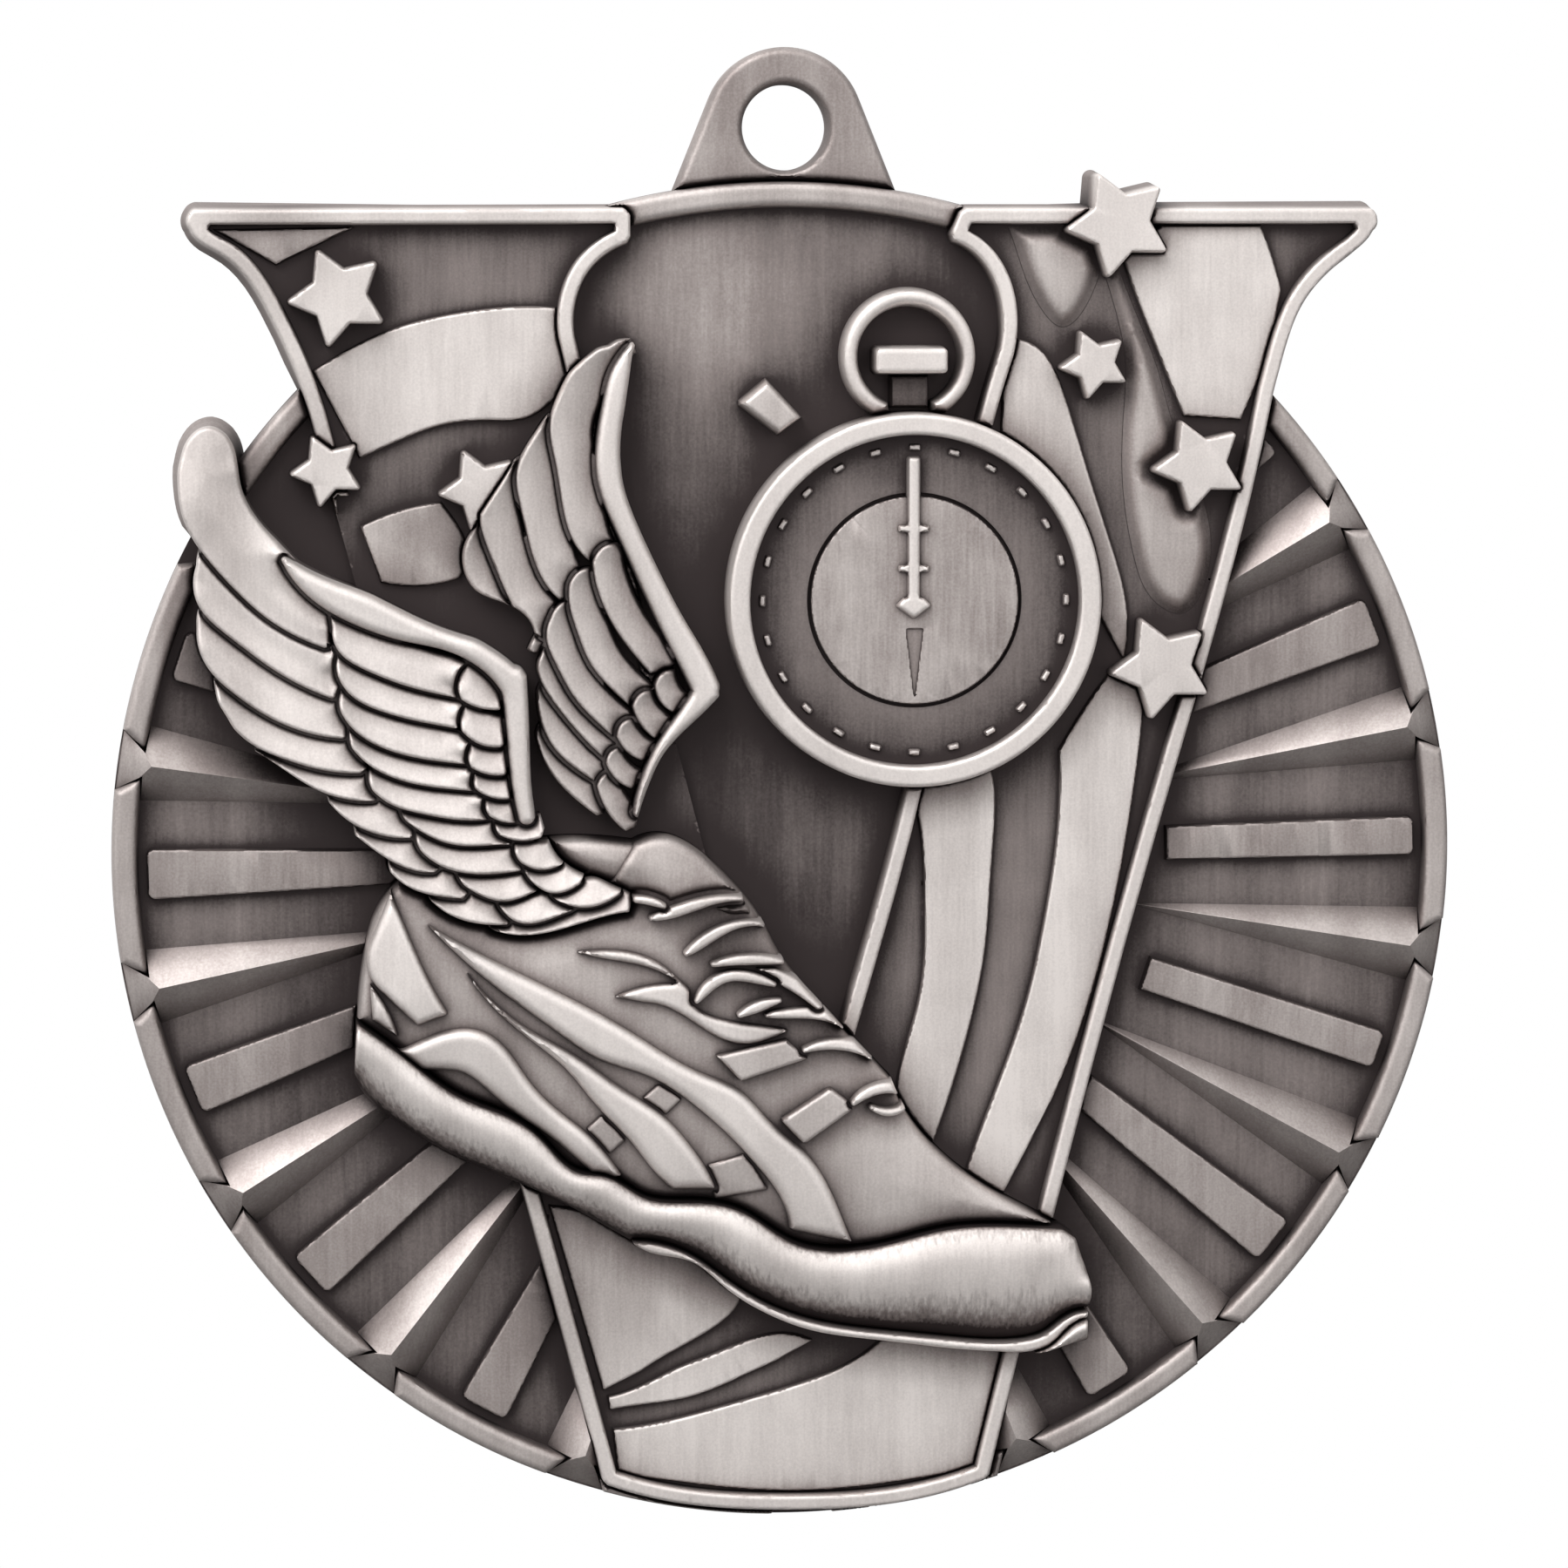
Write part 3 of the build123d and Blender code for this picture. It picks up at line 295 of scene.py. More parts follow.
def plate_mesh(loops, base, foot, top, wall, radius, grid, shape, rows=()):
    """Plan points, triangles and heights of the front of a relief over the outlines.

    The side is plumb from base to foot and leans in over the width wall. Then it rolls over with
    the given radius and runs on as top + shape(points, distance, outlines). With no foot it is
    plumb all the way up."""
    loops = [fine(loop, min(COARSEST, max(FINEST, radius))) for loop in loops]
    if foot is not None:
        steps = [wall * WALL_ROW] + [wall + radius * t for t in ROLL_ROWS]
        steps += [wall + radius + r for r in rows]
    else:
        steps = list(rows) or [PLUMB_ROW]
    cloud = []
    for loop in loops:
        run = np.roll(loop, -1, 0) - np.roll(loop, 1, 0)
        run /= np.linalg.norm(run, axis=1)[:, None] + 1e-12
        normal = np.column_stack([-run[:, 1], run[:, 0]])
        for step in steps:
            cloud.append(np.column_stack([loop + normal * step, np.full(len(loop), step)]))
    cloud = np.concatenate(cloud)
    cloud = cloud[inside(cloud[:, :2], loops)]
    gap = edge_distance(cloud[:, :2], loops)
    cloud = cloud[np.abs(gap - cloud[:, 2]) < ROW_SLACK * cloud[:, 2] + ROW_MARGIN][:, :2]
    cells = {}
    for p in cloud:
        cells.setdefault((round(p[0] / CELL), round(p[1] / CELL)), p)
    cloud = np.array(list(cells.values())) if cells else np.zeros((0, 2))
    low = np.concatenate(loops).min(0)
    high = np.concatenate(loops).max(0)
    inner = hex_grid(low, high, grid)
    inner = inner[inside(inner, loops)]
    if len(inner):
        inner = inner[edge_distance(inner, loops) > steps[-1] + grid * GRID_MARGIN]
    verts, faces = triangulate(np.concatenate(loops + [cloud, inner]), loops)
    gap = edge_distance(verts, loops)
    gap[gap < ON_EDGE] = 0
    peak = top + shape(verts, gap, loops)
    if foot is None:
        return verts, faces, np.maximum(peak, base + THINNEST)
    roll = np.clip((gap - wall) / radius, 0, 1)
    shoulder = peak - radius + radius * np.sqrt(np.clip(1 - (1 - roll) ** 2, 0, 1))
    rise = np.clip(gap / wall, 0, 1)
    height = np.where(gap < wall, foot + (peak - radius - foot) * rise, shoulder)
    height = np.maximum(height, np.minimum(foot, peak))
    height[gap == 0] = foot
    return verts, faces, height


def closed(verts, faces, height, base, flare=0.0):
    """The relief with its sides, which spread by flare at the bottom, and its flat underside."""
    count = {}
    for f in faces:
        for a, b in ((f[0], f[1]), (f[1], f[2]), (f[2], f[0])):
            if (b, a) in count:
                del count[(b, a)]
            else:
                count[(a, b)] = True
    points = [(x, z, h) for (x, z), h in zip(verts, height)]
    under = under_faces(verts, count)
    twin = {v: v for edge in count for v in edge}
    outward = {v: np.zeros(2) for v in twin}
    for a, b in count:
        run = np.subtract(verts[b], verts[a])
        side = np.array([run[1], -run[0]]) / (np.linalg.norm(run) + 1e-12)
        outward[a] += side
        outward[b] += side
    for v in twin:
        if height[v] > base + EPS:
            twin[v] = len(points)
            push = flare * outward[v] / max(1.0, np.linalg.norm(outward[v]))
            points.append((verts[v][0] + push[0], verts[v][1] + push[1], base))
    sides = []
    for a, b in count:
        if twin[a] != a and twin[b] != b:
            sides += [(a, twin[a], twin[b]), (a, twin[b], b)]
    bottom = [tuple(twin[i] for i in t) for t in under]
    return points, [tuple(f) for f in faces] + sides + bottom


def under_faces(verts, count):
    """Flat triangles over the border edges of a relief, facing back."""
    border = sorted({i for e in count for i in e})
    number = {v: k for k, v in enumerate(border)}
    edges = [(number[a], number[b]) for a, b in count]
    points = [Vector(verts[v]) for v in border]
    out, _, tris, origin, _, _ = delaunay_2d_cdt(points, edges, [], 0, EPS)
    start = np.array([verts[a] for a, b in count])
    end = np.array([verts[b] for a, b in count])
    tris = np.array([t for t in tris if len(t) == 3])
    back = [border[o[0]] for o in origin]
    middle = np.array([[out[i].x, out[i].y] for t in tris for i in t]).reshape(-1, 3, 2).mean(1)
    cross = ((start[:, 1][None] > middle[:, 1][:, None]) != (end[:, 1][None] > middle[:, 1][:, None]))
    at = ((end[:, 0] - start[:, 0])[None] * (middle[:, 1][:, None] - start[:, 1][None])
          / ((end[:, 1] - start[:, 1])[None] + 1e-15) + start[:, 0][None])
    within = (cross & (middle[:, 0][:, None] < at)).sum(1) % 2 == 1
    result = []
    for t in tris[within]:
        a, b, c = [back[i] for i in t]
        turned = turning(verts[a], verts[b], verts[c]) > 0
        result.append((a, c, b) if turned else (a, b, c))
    return result


def new_piece(name, verts, faces, material, smooth_angle=32, nodes=()):
    """Mesh object from points (x, z, h) in mm, standing for its CAD nodes."""
    mesh = bpy.data.meshes.new(name)
    mesh.from_pydata([(x * MM, -h * MM, z * MM) for x, z, h in verts], [],
                     [tuple(int(i) for i in f) for f in faces])
    mesh.validate()
    bm = bmesh.new()
    bm.from_mesh(mesh)
    bmesh.ops.recalc_face_normals(bm, faces=bm.faces)
    for edge in bm.edges:
        edge.smooth = not (edge.is_manifold and edge.calc_face_angle(0) > math.radians(smooth_angle))
    for face in bm.faces:
        face.smooth = True
    bm.to_mesh(mesh)
    bm.free()
    mesh.materials.append(material)
    obj = bpy.data.objects.new(name, mesh)
    bpy.context.scene.collection.objects.link(obj)
    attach(obj, "root")
    if nodes:
        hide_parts(*nodes)
    return obj


def flat(points, gap, loops):
    """No shape of its own: a level face."""
    return np.zeros(len(points))


def relief(name, node, base, material, foot=None, wall=0.1, radius=0.12, grid=1.2, shape=flat,
           lift=0.0, rows=(), angle=32, flare=0.0):
    """One piece over every solid of a CAD node.

    flare is how far the sides spread by the height of the disc's back. Where a solid overhangs
    the disc, a second solid behind the relief fills it down to that height."""
    verts, faces = [], []
    for triangles in islands(node):
        loops, top = outlines(triangles)
        parts = plate_mesh(loops, base, foot, top + lift, wall, radius, grid, shape, rows)
        spread = flare * (foot - base) / foot if foot else 0.0
        solids = [closed(*parts, base, spread)]
        back = overhang(triangles) if base > 0 else []
        if back:
            plan, tris = triangulate(np.concatenate(back), back)
            solids.append(closed(plan, tris, np.full(len(plan), BACKING), 0.0, flare))
        for points, tris in solids:
            first = len(verts)
            verts += points
            faces += [tuple(i + first for i in t) for t in tris]
    return new_piece(name, verts, faces, material, angle, (node,))


# Surface rules

DOWN = (0.0, -1.0)
LEFT = (-1.0, 0.0)


def share(points, loops, facing):
    """0 on the edge that faces the given way, 1 on the edge that faces away from it."""
    near = edge_distance(points, loops, facing)
    far = edge_distance(points, loops, (-facing[0], -facing[1]))
    return near / (near + far + 1e-9)


FEATHER_CURVE = 1.3


def feather(facing, drop):
    """Crest along the edge that faces the given way, sinking under the feather above."""
    def rule(points, gap, loops):
        return -drop * share(points, loops, facing) ** FEATHER_CURVE
    return rule


# A fold starts FOLD_SINK below its CAD face and rises by FOLD_RISE over FOLD_WIDTH.
FOLD_WIDTH = 0.6
FOLD_SINK = 0.28
FOLD_RISE = 0.25


def swell(points, gap, loops):
    """Soft fold that rises from the plate without a crisp edge."""
    rise = np.clip(gap / FOLD_WIDTH, 0, 1)
    return -FOLD_SINK + FOLD_RISE * rise * rise * (3 - 2 * rise)


# The sole is fullest at SOLE_CREST, as a share of the way up from its lower edge. It tucks in
# by about SOLE_TUCK below that, and falls by SOLE_SHOULDER at its upper edge.
SOLE_CREST = 0.72
SOLE_ABOVE = 0.28
SOLE_TUCK = 1.45
SOLE_ROUND = 0.96
SOLE_SHOULDER = 0.3


def sole_bulge(points, gap, loops):
    """Full along the top of the sole and rounding under towards the outsole."""
    t = share(points, loops, DOWN)
    under = np.clip(1 - t / SOLE_CREST, 0, 1)
    over = np.clip((t - SOLE_CREST) / SOLE_ABOVE, 0, 1)
    tuck = SOLE_TUCK * (1 - np.sqrt(1 - under ** 2 * SOLE_ROUND))
    return -tuck - SOLE_SHOULDER * over ** 2


UPPER_LOOPS = [fine(loop, 0.3) for loop in outlines(islands("shoe_upper")[0])[0]]
# The shoe falls by SKIN_DROP at its outline, and by less and less over about SKIN_REACH.
SKIN_DROP = 0.32
SKIN_REACH = 1.1


def shoe_skin(points, gap=None, loops=None):
    """How far the shoe falls away towards its outline."""
    reach = edge_distance(points, UPPER_LOOPS)
    return -SKIN_DROP * np.exp(-reach / SKIN_REACH)


# Materials

def shader(name):
    """New material and its empty node tree."""
    material = bpy.data.materials.new(name)
    material.use_nodes = True
    tree = material.node_tree
    tree.nodes.clear()
    return material, tree


def math_node(tree, operation, a, b, clamp=False):
    """Output of a math node over two sockets or numbers."""
    node = tree.nodes.new("ShaderNodeMath")
    node.operation = operation
    node.use_clamp = clamp
    for socket, value in zip(node.inputs, (a, b)):
        if isinstance(value, (int, float)):
            socket.default_value = value
        else:
            tree.links.new(value, socket)
    return node.outputs[0]


def noise(tree, vector, scale, detail):
    """Noise about 0.5."""
    node = tree.nodes.new("ShaderNodeTexNoise")
    node.inputs["Scale"].default_value = scale
    node.inputs["Detail"].default_value = detail
    tree.links.new(vector, node.inputs["Vector"])
    return node.outputs[0]


def stretched(tree, position, scale):
    """Position with each axis scaled."""
    node = tree.nodes.new("ShaderNodeMapping")
    node.inputs["Scale"].default_value = scale
    tree.links.new(position, node.inputs["Vector"])
    return node.outputs[0]


def swing(tree, value, amount):
    """Noise moved to swing about 0, by the given amount."""
    return math_node(tree, "MULTIPLY", math_node(tree, "SUBTRACT", value, 0.5), amount)


# Colours of the tones 0, 0.5 and 1.
DARK = (0.046, 0.036, 0.036)
MIDDLE = (0.33, 0.285, 0.272)
BRIGHT = (0.86, 0.805, 0.775)

# Broad patches of painted shade and painted light, partly stain and rubbing: x, z and radius in
# mm, and the change of tone at the middle.
# The dial's patch lightens its middle, so the dial darkens towards the bezel: painted shade.
DIAL_PAINTED_SHADE = ((*WATCH, 6.6, 0.36),)
SHADE_AND_STAINS = (
    (-14.0, 12.1, 3.4, -0.30),
    (-16.8, 17.2, 3.0, -0.14),
    (-18.9, 23.2, 3.4, -0.24),
    (-1.5, 0.5, 7.0, -0.16),
    (-3.3, 21.0, 6.5, 0.22),
    (-7.0, -16.5, 5.5, -0.24),
    (15.5, 23.5, 3.0, 0.10),
    (-3.0, -22.0, 5.0, 0.05),
    (9.0, 21.5, 4.0, 0.10),
)


def broad_shade_and_stains(tree, position, shade_and_stain_spots):
    """Sum of the broad patches of painted shade, painted light and stain at a point of the plan."""
    plan = stretched(tree, position, (1 / MM, 0, 1 / MM))
    total = 0.0
    for x, z, radius, amount in shade_and_stain_spots:
        gap = tree.nodes.new("ShaderNodeVectorMath")
        gap.operation = "DISTANCE"
        tree.links.new(plan, gap.inputs[0])
        gap.inputs[1].default_value = (x, 0, z)
        fade = tree.nodes.new("ShaderNodeMapRange")
        fade.interpolation_type = "SMOOTHSTEP"
        fade.inputs["From Min"].default_value = 0
        fade.inputs["From Max"].default_value = radius
        fade.inputs["To Min"].default_value = amount
        fade.inputs["To Max"].default_value = 0
        tree.links.new(gap.outputs["Value"], fade.inputs["Value"])
        total = math_node(tree, "ADD", total, fade.outputs[0])
    return total


# Scales of the noises: fine and broad strokes run up the medal, spots and specks are even.
STROKES = (7000, 7000, 500)
SWEEPS = (520, 520, 45)
SPOTS = 500.0
SPECKS = 11000.0
SPOT_SHARE = 1.2
SWEEP_SHARE = 2.2
SPECK_AMOUNT = 0.16
# The tone stops falling this far below a crest.
DEEPEST = 1.1


def hollow_tarnish_and_shade(tree, reach, shade, level):
    """The level in open air, falling by shade where all around within reach mm is metal: tarnish in
    the hollows and also painted ambient shade.
    """
    shelter = tree.nodes.new("ShaderNodeAmbientOcclusion")
    shelter.samples = 12
    shelter.inputs["Distance"].default_value = reach * MM
    open_air = math_node(tree, "SUBTRACT", shelter.outputs["AO"], 1.0)
    return math_node(tree, "ADD", math_node(tree, "MULTIPLY", open_air, shade), level)


def silver(tree, tone, brush, rough):
    """Metal coloured by its tone, with the brush strokes as relief."""
    mix = tree.nodes.new("ShaderNodeValToRGB")
    mix.color_ramp.elements[0].color = (*DARK, 1)
    mix.color_ramp.elements[1].color = (*BRIGHT, 1)
    mix.color_ramp.elements.new(0.5).color = (*MIDDLE, 1)
    tree.links.new(tone, mix.inputs[0])
    surface = tree.nodes.new("ShaderNodeBsdfPrincipled")
    surface.inputs["Metallic"].default_value = 0.85
    surface.inputs["Roughness"].default_value = rough
    tree.links.new(mix.outputs[0], surface.inputs["Base Color"])
    bump = tree.nodes.new("ShaderNodeBump")
    bump.inputs["Strength"].default_value = 0.15
    bump.inputs["Distance"].default_value = 0.02 * MM
    tree.links.new(brush, bump.inputs["Height"])
    tree.links.new(bump.outputs[0], surface.inputs["Normal"])
    output = tree.nodes.new("ShaderNodeOutputMaterial")
    tree.links.new(surface.outputs[0], output.inputs[0])


def tarnished_silver_with_painted_shade(name, level, shade, reach=2.5, rough=0.58, streak=0.10, climb=0.0, crest=0.0,
           hair=0.0, shade_and_stain_spots=SHADE_AND_STAINS):
    """Antique silver, dark where the casting is shut in and bright where it is rubbed. The dark is
    tarnish in the hollows and also painted ambient shade.

    Below the height crest the tone falls by climb for every mm, along a line that hair makes
    ragged: painted shade on the lower parts, such as under the sole. The painted shade and light
    of the broad patches show only on the front."""
    material, tree = shader(name)
    position = tree.nodes.new("ShaderNodeNewGeometry").outputs["Position"]
    brush = noise(tree, stretched(tree, position, STROKES), 1.0, 2.0)
    split = tree.nodes.new("ShaderNodeSeparateXYZ")
    tree.links.new(position, split.inputs[0])
    height = math_node(tree, "MULTIPLY", split.outputs["Y"], -1 / MM)

    # Darker where metal is all around: tarnish in the hollows and painted ambient shade.
    total = hollow_tarnish_and_shade(tree, reach, shade, level)
    # Darker below the crest height: painted shade on the lower parts.
    if climb:
        above = math_node(tree, "SUBTRACT", height, crest)
        below = math_node(tree, "ADD", above, swing(tree, brush, hair))
        below = math_node(tree, "MINIMUM", below, 0.0)
        below = math_node(tree, "MAXIMUM", below, -DEEPEST)
        total = math_node(tree, "ADD", total, math_node(tree, "MULTIPLY", below, climb))
    broad = noise(tree, stretched(tree, position, SWEEPS), 1.0, 1.0)
    total = math_node(tree, "ADD", total, swing(tree, broad, streak * SWEEP_SHARE))
    specks = swing(tree, noise(tree, position, SPECKS, 1.0), SPECK_AMOUNT)
    spots = swing(tree, noise(tree, position, SPOTS, 4.0), streak * SPOT_SHARE)
    total = math_node(tree, "ADD", total, math_node(tree, "ADD", specks, spots))
    front = math_node(tree, "GREATER_THAN", height, BURIED)
    # Painted shade and painted light from the broad patches, on the front only.
    painted_shade_and_stains = math_node(tree, "MULTIPLY", broad_shade_and_stains(tree, position, shade_and_stain_spots), front)
    total = math_node(tree, "ADD", total, painted_shade_and_stains)
    total = math_node(tree, "ADD", total, swing(tree, brush, streak), clamp=True)
    silver(tree, total, brush, rough)
    return material


# Every metal darkens where metal is all around: tarnish in the hollows and painted ambient shade.
FIELD_METAL = tarnished_silver_with_painted_shade("field_metal", 0.40, 1.6, 4.0, streak=0.18)
PLATE_METAL = tarnished_silver_with_painted_shade("plate_metal", 0.43, 1.6, 3.0, streak=0.16)
BAR_METAL = tarnished_silver_with_painted_shade("bar_metal", 0.58, 1.2, 2.5, streak=0.14)
PLEAT_METAL = tarnished_silver_with_painted_shade("pleat_metal", 0.64, 1.0, 2.5, rough=0.5, streak=0.12)
STRIPE_METAL = tarnished_silver_with_painted_shade("stripe_metal", 0.92, 1.4, 2.0, streak=0.14)
RIM_METAL = tarnished_silver_with_painted_shade("rim_metal", 0.66, 1.0, 2.0, streak=0.12)
# The dial is dark and lighter at its middle: painted shade towards the bezel.
DIAL_METAL = tarnished_silver_with_painted_shade("dial_metal", 0.22, 1.2, 2.0, streak=0.16, shade_and_stain_spots=DIAL_PAINTED_SHADE)
FACE_METAL = tarnished_silver_with_painted_shade("face_metal", 0.60, 1.2, 2.0, streak=0.22)
UPPER_METAL = tarnished_silver_with_painted_shade("upper_metal", 0.75, 1.35, 1.2, streak=0.12)
FOLD_METAL = tarnished_silver_with_painted_shade("fold_metal", 0.70, 0.8, 1.5, streak=0.12, climb=1.5, crest=2.17)
# Darker below its crest, along a ragged line: painted shade under the sole.
SOLE_METAL = tarnished_silver_with_painted_shade("sole_metal", 0.92, 0.8, 1.0, streak=0.16, climb=1.5, crest=3.78, hair=0.35)
NEAR_METAL = tarnished_silver_with_painted_shade("near_feather_metal", 0.82, 1.0, 0.7, rough=0.6, streak=0.12)
# Far feathers are darker than the near ones and darker down their slope: painted shade on the side
# that faces away from the light.
FAR_METAL = tarnished_silver_with_painted_shade("far_feather_metal", 0.76, 1.1, 1.0, rough=0.6, streak=0.12, climb=0.5,
                   crest=3.25)
HIGH_METAL = tarnished_silver_with_painted_shade("high_metal", 0.94, 1.0, 1.2, streak=0.08)
# Darker below its crest height, so the border is dimmer than the stars: painted shade.
EDGE_METAL = tarnished_silver_with_painted_shade("edge_metal", 0.90, 1.0, 1.2, streak=0.08, climb=0.42, crest=2.5)
UNDER_METAL = tarnished_silver_with_painted_shade("under_metal", 0.50, 0.7, 1.5, rough=0.62, streak=0.12)


def lathe(name, profile, centre, material, nodes, steps=360, angle=32):
    """Turned piece about an axis towards the viewer, from points (radius, height) in mm."""
    verts, faces, rings = [], [], []
    for radius, height in profile:
        if radius < EPS:
            rings.append([len(verts)])
            verts.append((centre[0], centre[1], height))
        else:
            rings.append(list(range(len(verts), len(verts) + steps)))
            for k in range(steps):
                a = 2 * math.pi * k / steps
                verts.append((centre[0] + radius * math.cos(a), centre[1] + radius * math.sin(a),
                              height))
    hollow = profile[0][0] > EPS
    pairs = list(zip(rings, rings[1:])) + ([(rings[-1], rings[0])] if hollow else [])
    for low, high in pairs:
        for k in range(steps):
            n = (k + 1) % steps
            if len(low) == 1:
                faces.append((low[0], high[k], high[n]))
            elif len(high) == 1:
                faces.append((low[k], high[0], low[n]))
            else:
                faces.append((low[k], low[n], high[n], high[k]))
    return new_piece(name, verts, faces, material, angle, nodes)


def circle(centre, radius, count=240):
    """Plan points round a circle."""
    turns = np.linspace(0, 2 * math.pi, count, endpoint=False)
    return np.column_stack([centre[0] + radius * np.cos(turns), centre[1] + radius * np.sin(turns)])


def build_disc():
    """Round body with a rolled back edge and a ring sunk in the back."""
    ring = [(20.38, 0), (20.46, 0.18), (20.94, 0.18), (21.02, 0)]
    edge = [(25.05, 0), (25.2, 0.05), (25.33, 0.17), (DISC_R, 0.35), (DISC_R, FIELD)]
    profile = [(0, 0)] + ring + edge + [(0, FIELD)]
    lathe("disc_body", profile, (0, 0), FIELD_METAL, ("medal_disc",))


# Angles in degrees: faces that meet flatter than FLAT_TURN become one, edges sharper than
# SHARP_TURN are bevelled.
FLAT_TURN = 1
SHARP_TURN = 12
PLEAT_BEVEL = 0.06


def build_pleats():
    """Sharp roof pleats taken from the CAD solids, with softened edges."""
    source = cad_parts["sunburst_pleats"].data
    bm = bmesh.new()
    bm.from_mesh(source)
    bmesh.ops.remove_doubles(bm, verts=bm.verts, dist=WELD)
    bmesh.ops.dissolve_limit(bm, angle_limit=math.radians(FLAT_TURN), verts=bm.verts,
                             edges=bm.edges)
    least = math.radians(SHARP_TURN)
    sharp = [e for e in bm.edges if e.is_manifold and e.calc_face_angle(0) > least]
    bmesh.ops.bevel(bm, geom=sharp, offset=PLEAT_BEVEL * MM, segments=2, profile=0.6,
                    affect="EDGES", clamp_overlap=True)
    bmesh.ops.triangulate(bm, faces=bm.faces)
    verts = [(v.co.x / MM, v.co.z / MM, -v.co.y / MM) for v in bm.verts]
    faces = [tuple(v.index for v in f.verts) for f in bm.faces]
    bm.free()
    new_piece("pleats", verts, faces, PLEAT_METAL, 24, ("sunburst_pleats",))


def build_frame():
    """Rim, sunburst bars, hanging tab, and the V with its stripes, stars and folds."""
    relief("rim", "disc_rim", SUNK, RIM_METAL, FOOT, wall=0.05, radius=0.26)
    relief("bars", "sunburst_bars", SUNK, BAR_METAL, FOOT, wall=0.05, radius=0.08)
    relief("tab", "hanger_loop", 0.0, BAR_METAL, 1.3, wall=0.08, radius=0.2)
    relief("plate", "v_plate", BURIED, PLATE_METAL)
    relief("border", "v_border", BURIED, EDGE_METAL, 1.85, wall=0.05, radius=0.13, flare=0.24)
    for side in ("left", "right"):
        relief(f"stripes_{side}", f"{side}_stripes", BURIED, STRIPE_METAL, 1.88, wall=0.03, radius=0.1)
        relief(f"stars_{side}", f"{side}_stars", BURIED, EDGE_METAL, 2.2, wall=0.05, radius=0.1,
               flare=0.16)
    relief("folds", "right_folds", BURIED, FOLD_METAL, grid=0.35, rows=(0.12, 0.25, 0.4, 0.6),
           shape=swell)
    relief("stripes_low", "lower_stripes", SUNK, STRIPE_METAL, 1.88, wall=0.03, radius=0.1)
    relief("stripes_base", "base_stripes", SUNK, STRIPE_METAL, 1.88, wall=0.03, radius=0.1)


# The dial is a ring: its top, the seat of the middle inside it, and the radius of its bore.
DIAL_TOP = 2.7
DIAL_SEAT = 2.45
DIAL_BORE = 3.8


def build_watch():
    """Stopwatch: bezel, dial with its middle and ticks, hand, crown, stem, bow and button."""
    x, z = WATCH
    relief("bezel", "stopwatch_bezel", SUNK, HIGH_METAL, FOOT, wall=0.08, radius=0.15)
    ring = [(4.02, DIAL_SEAT), (4.02, 2.66), (4.06, DIAL_TOP), (6.25, DIAL_TOP), (6.25, SUNK),
            (DIAL_BORE, SUNK), (DIAL_BORE, DIAL_SEAT)]
    lathe("dial", ring, (x, z), DIAL_METAL, ("stopwatch_dial",), steps=240)
    tail = np.array([(x - 0.3, z - 1.1), (x, z - 3.6), (x + 0.3, z - 1.1)])
    middle = plate_mesh([circle((x, z), 3.93), tail[::-1]], base=2.3, foot=2.4, top=2.84,
                        wall=0.02, radius=0.05, grid=1.0, shape=flat)
    points, tris = closed(*middle, 2.3)
    new_piece("dial_middle", points, tris, FACE_METAL, 32, ("dial_centre",))
    floor = [(0, SUNK), (3.85, SUNK), (3.85, 2.74), (0, 2.74)]
    lathe("dial_floor", floor, (x, z), UNDER_METAL, (), steps=120)
    relief("ticks", "dial_ticks", 2.6, STRIPE_METAL, 2.65, wall=0.04, radius=0.08)
    relief("hand", "stopwatch_hand", 2.6, HIGH_METAL, 2.65, wall=0.05, radius=0.16)
    relief("crown", "stopwatch_crown", SUNK, HIGH_METAL, FOOT, wall=0.1, radius=0.16)
    relief("stem", "crown_stem", SUNK, BAR_METAL, FOOT, wall=0.05, radius=0.1)
    relief("bow", "stopwatch_bow", SUNK, HIGH_METAL, FOOT, wall=0.1, radius=0.24)
    relief("button", "lap_button", SUNK, UPPER_METAL, FOOT, wall=0.12, radius=0.16)


def build_wings():
    """Both wings: base, three rows of feathers and the bone along the top."""
    relief("far_wing", "far_wing_base", SUNK, UNDER_METAL, FOOT, wall=0.12, radius=0.2, lift=0.18)
    relief("near_wing", "near_wing_base", BURIED, UNDER_METAL, 1.8, wall=0.12, radius=0.2,
           flare=0.25, lift=0.22)
    for part in ("primaries", "coverts", "scapulars"):
        relief(f"far_{part}", f"far_wing_{part}", 2.5, FAR_METAL, 2.72, wall=0.04, radius=0.12,
               grid=0.22, shape=feather(LEFT, 0.30), rows=(0.1, 0.22), lift=0.08, angle=50)
        relief(f"near_{part}", f"near_wing_{part}", 2.8, NEAR_METAL, 3.02, wall=0.04, radius=0.12,
               grid=0.22, shape=feather(DOWN, 0.34), rows=(0.1, 0.22), lift=0.08, angle=50)
    relief("far_bone", "far_wing_bone", 2.5, HIGH_METAL, 2.55, wall=0.05, radius=0.26, lift=0.05)
    relief("near_bone", "near_wing_bone", 2.8, HIGH_METAL, 2.85, wall=0.05, radius=0.3, lift=0.05)


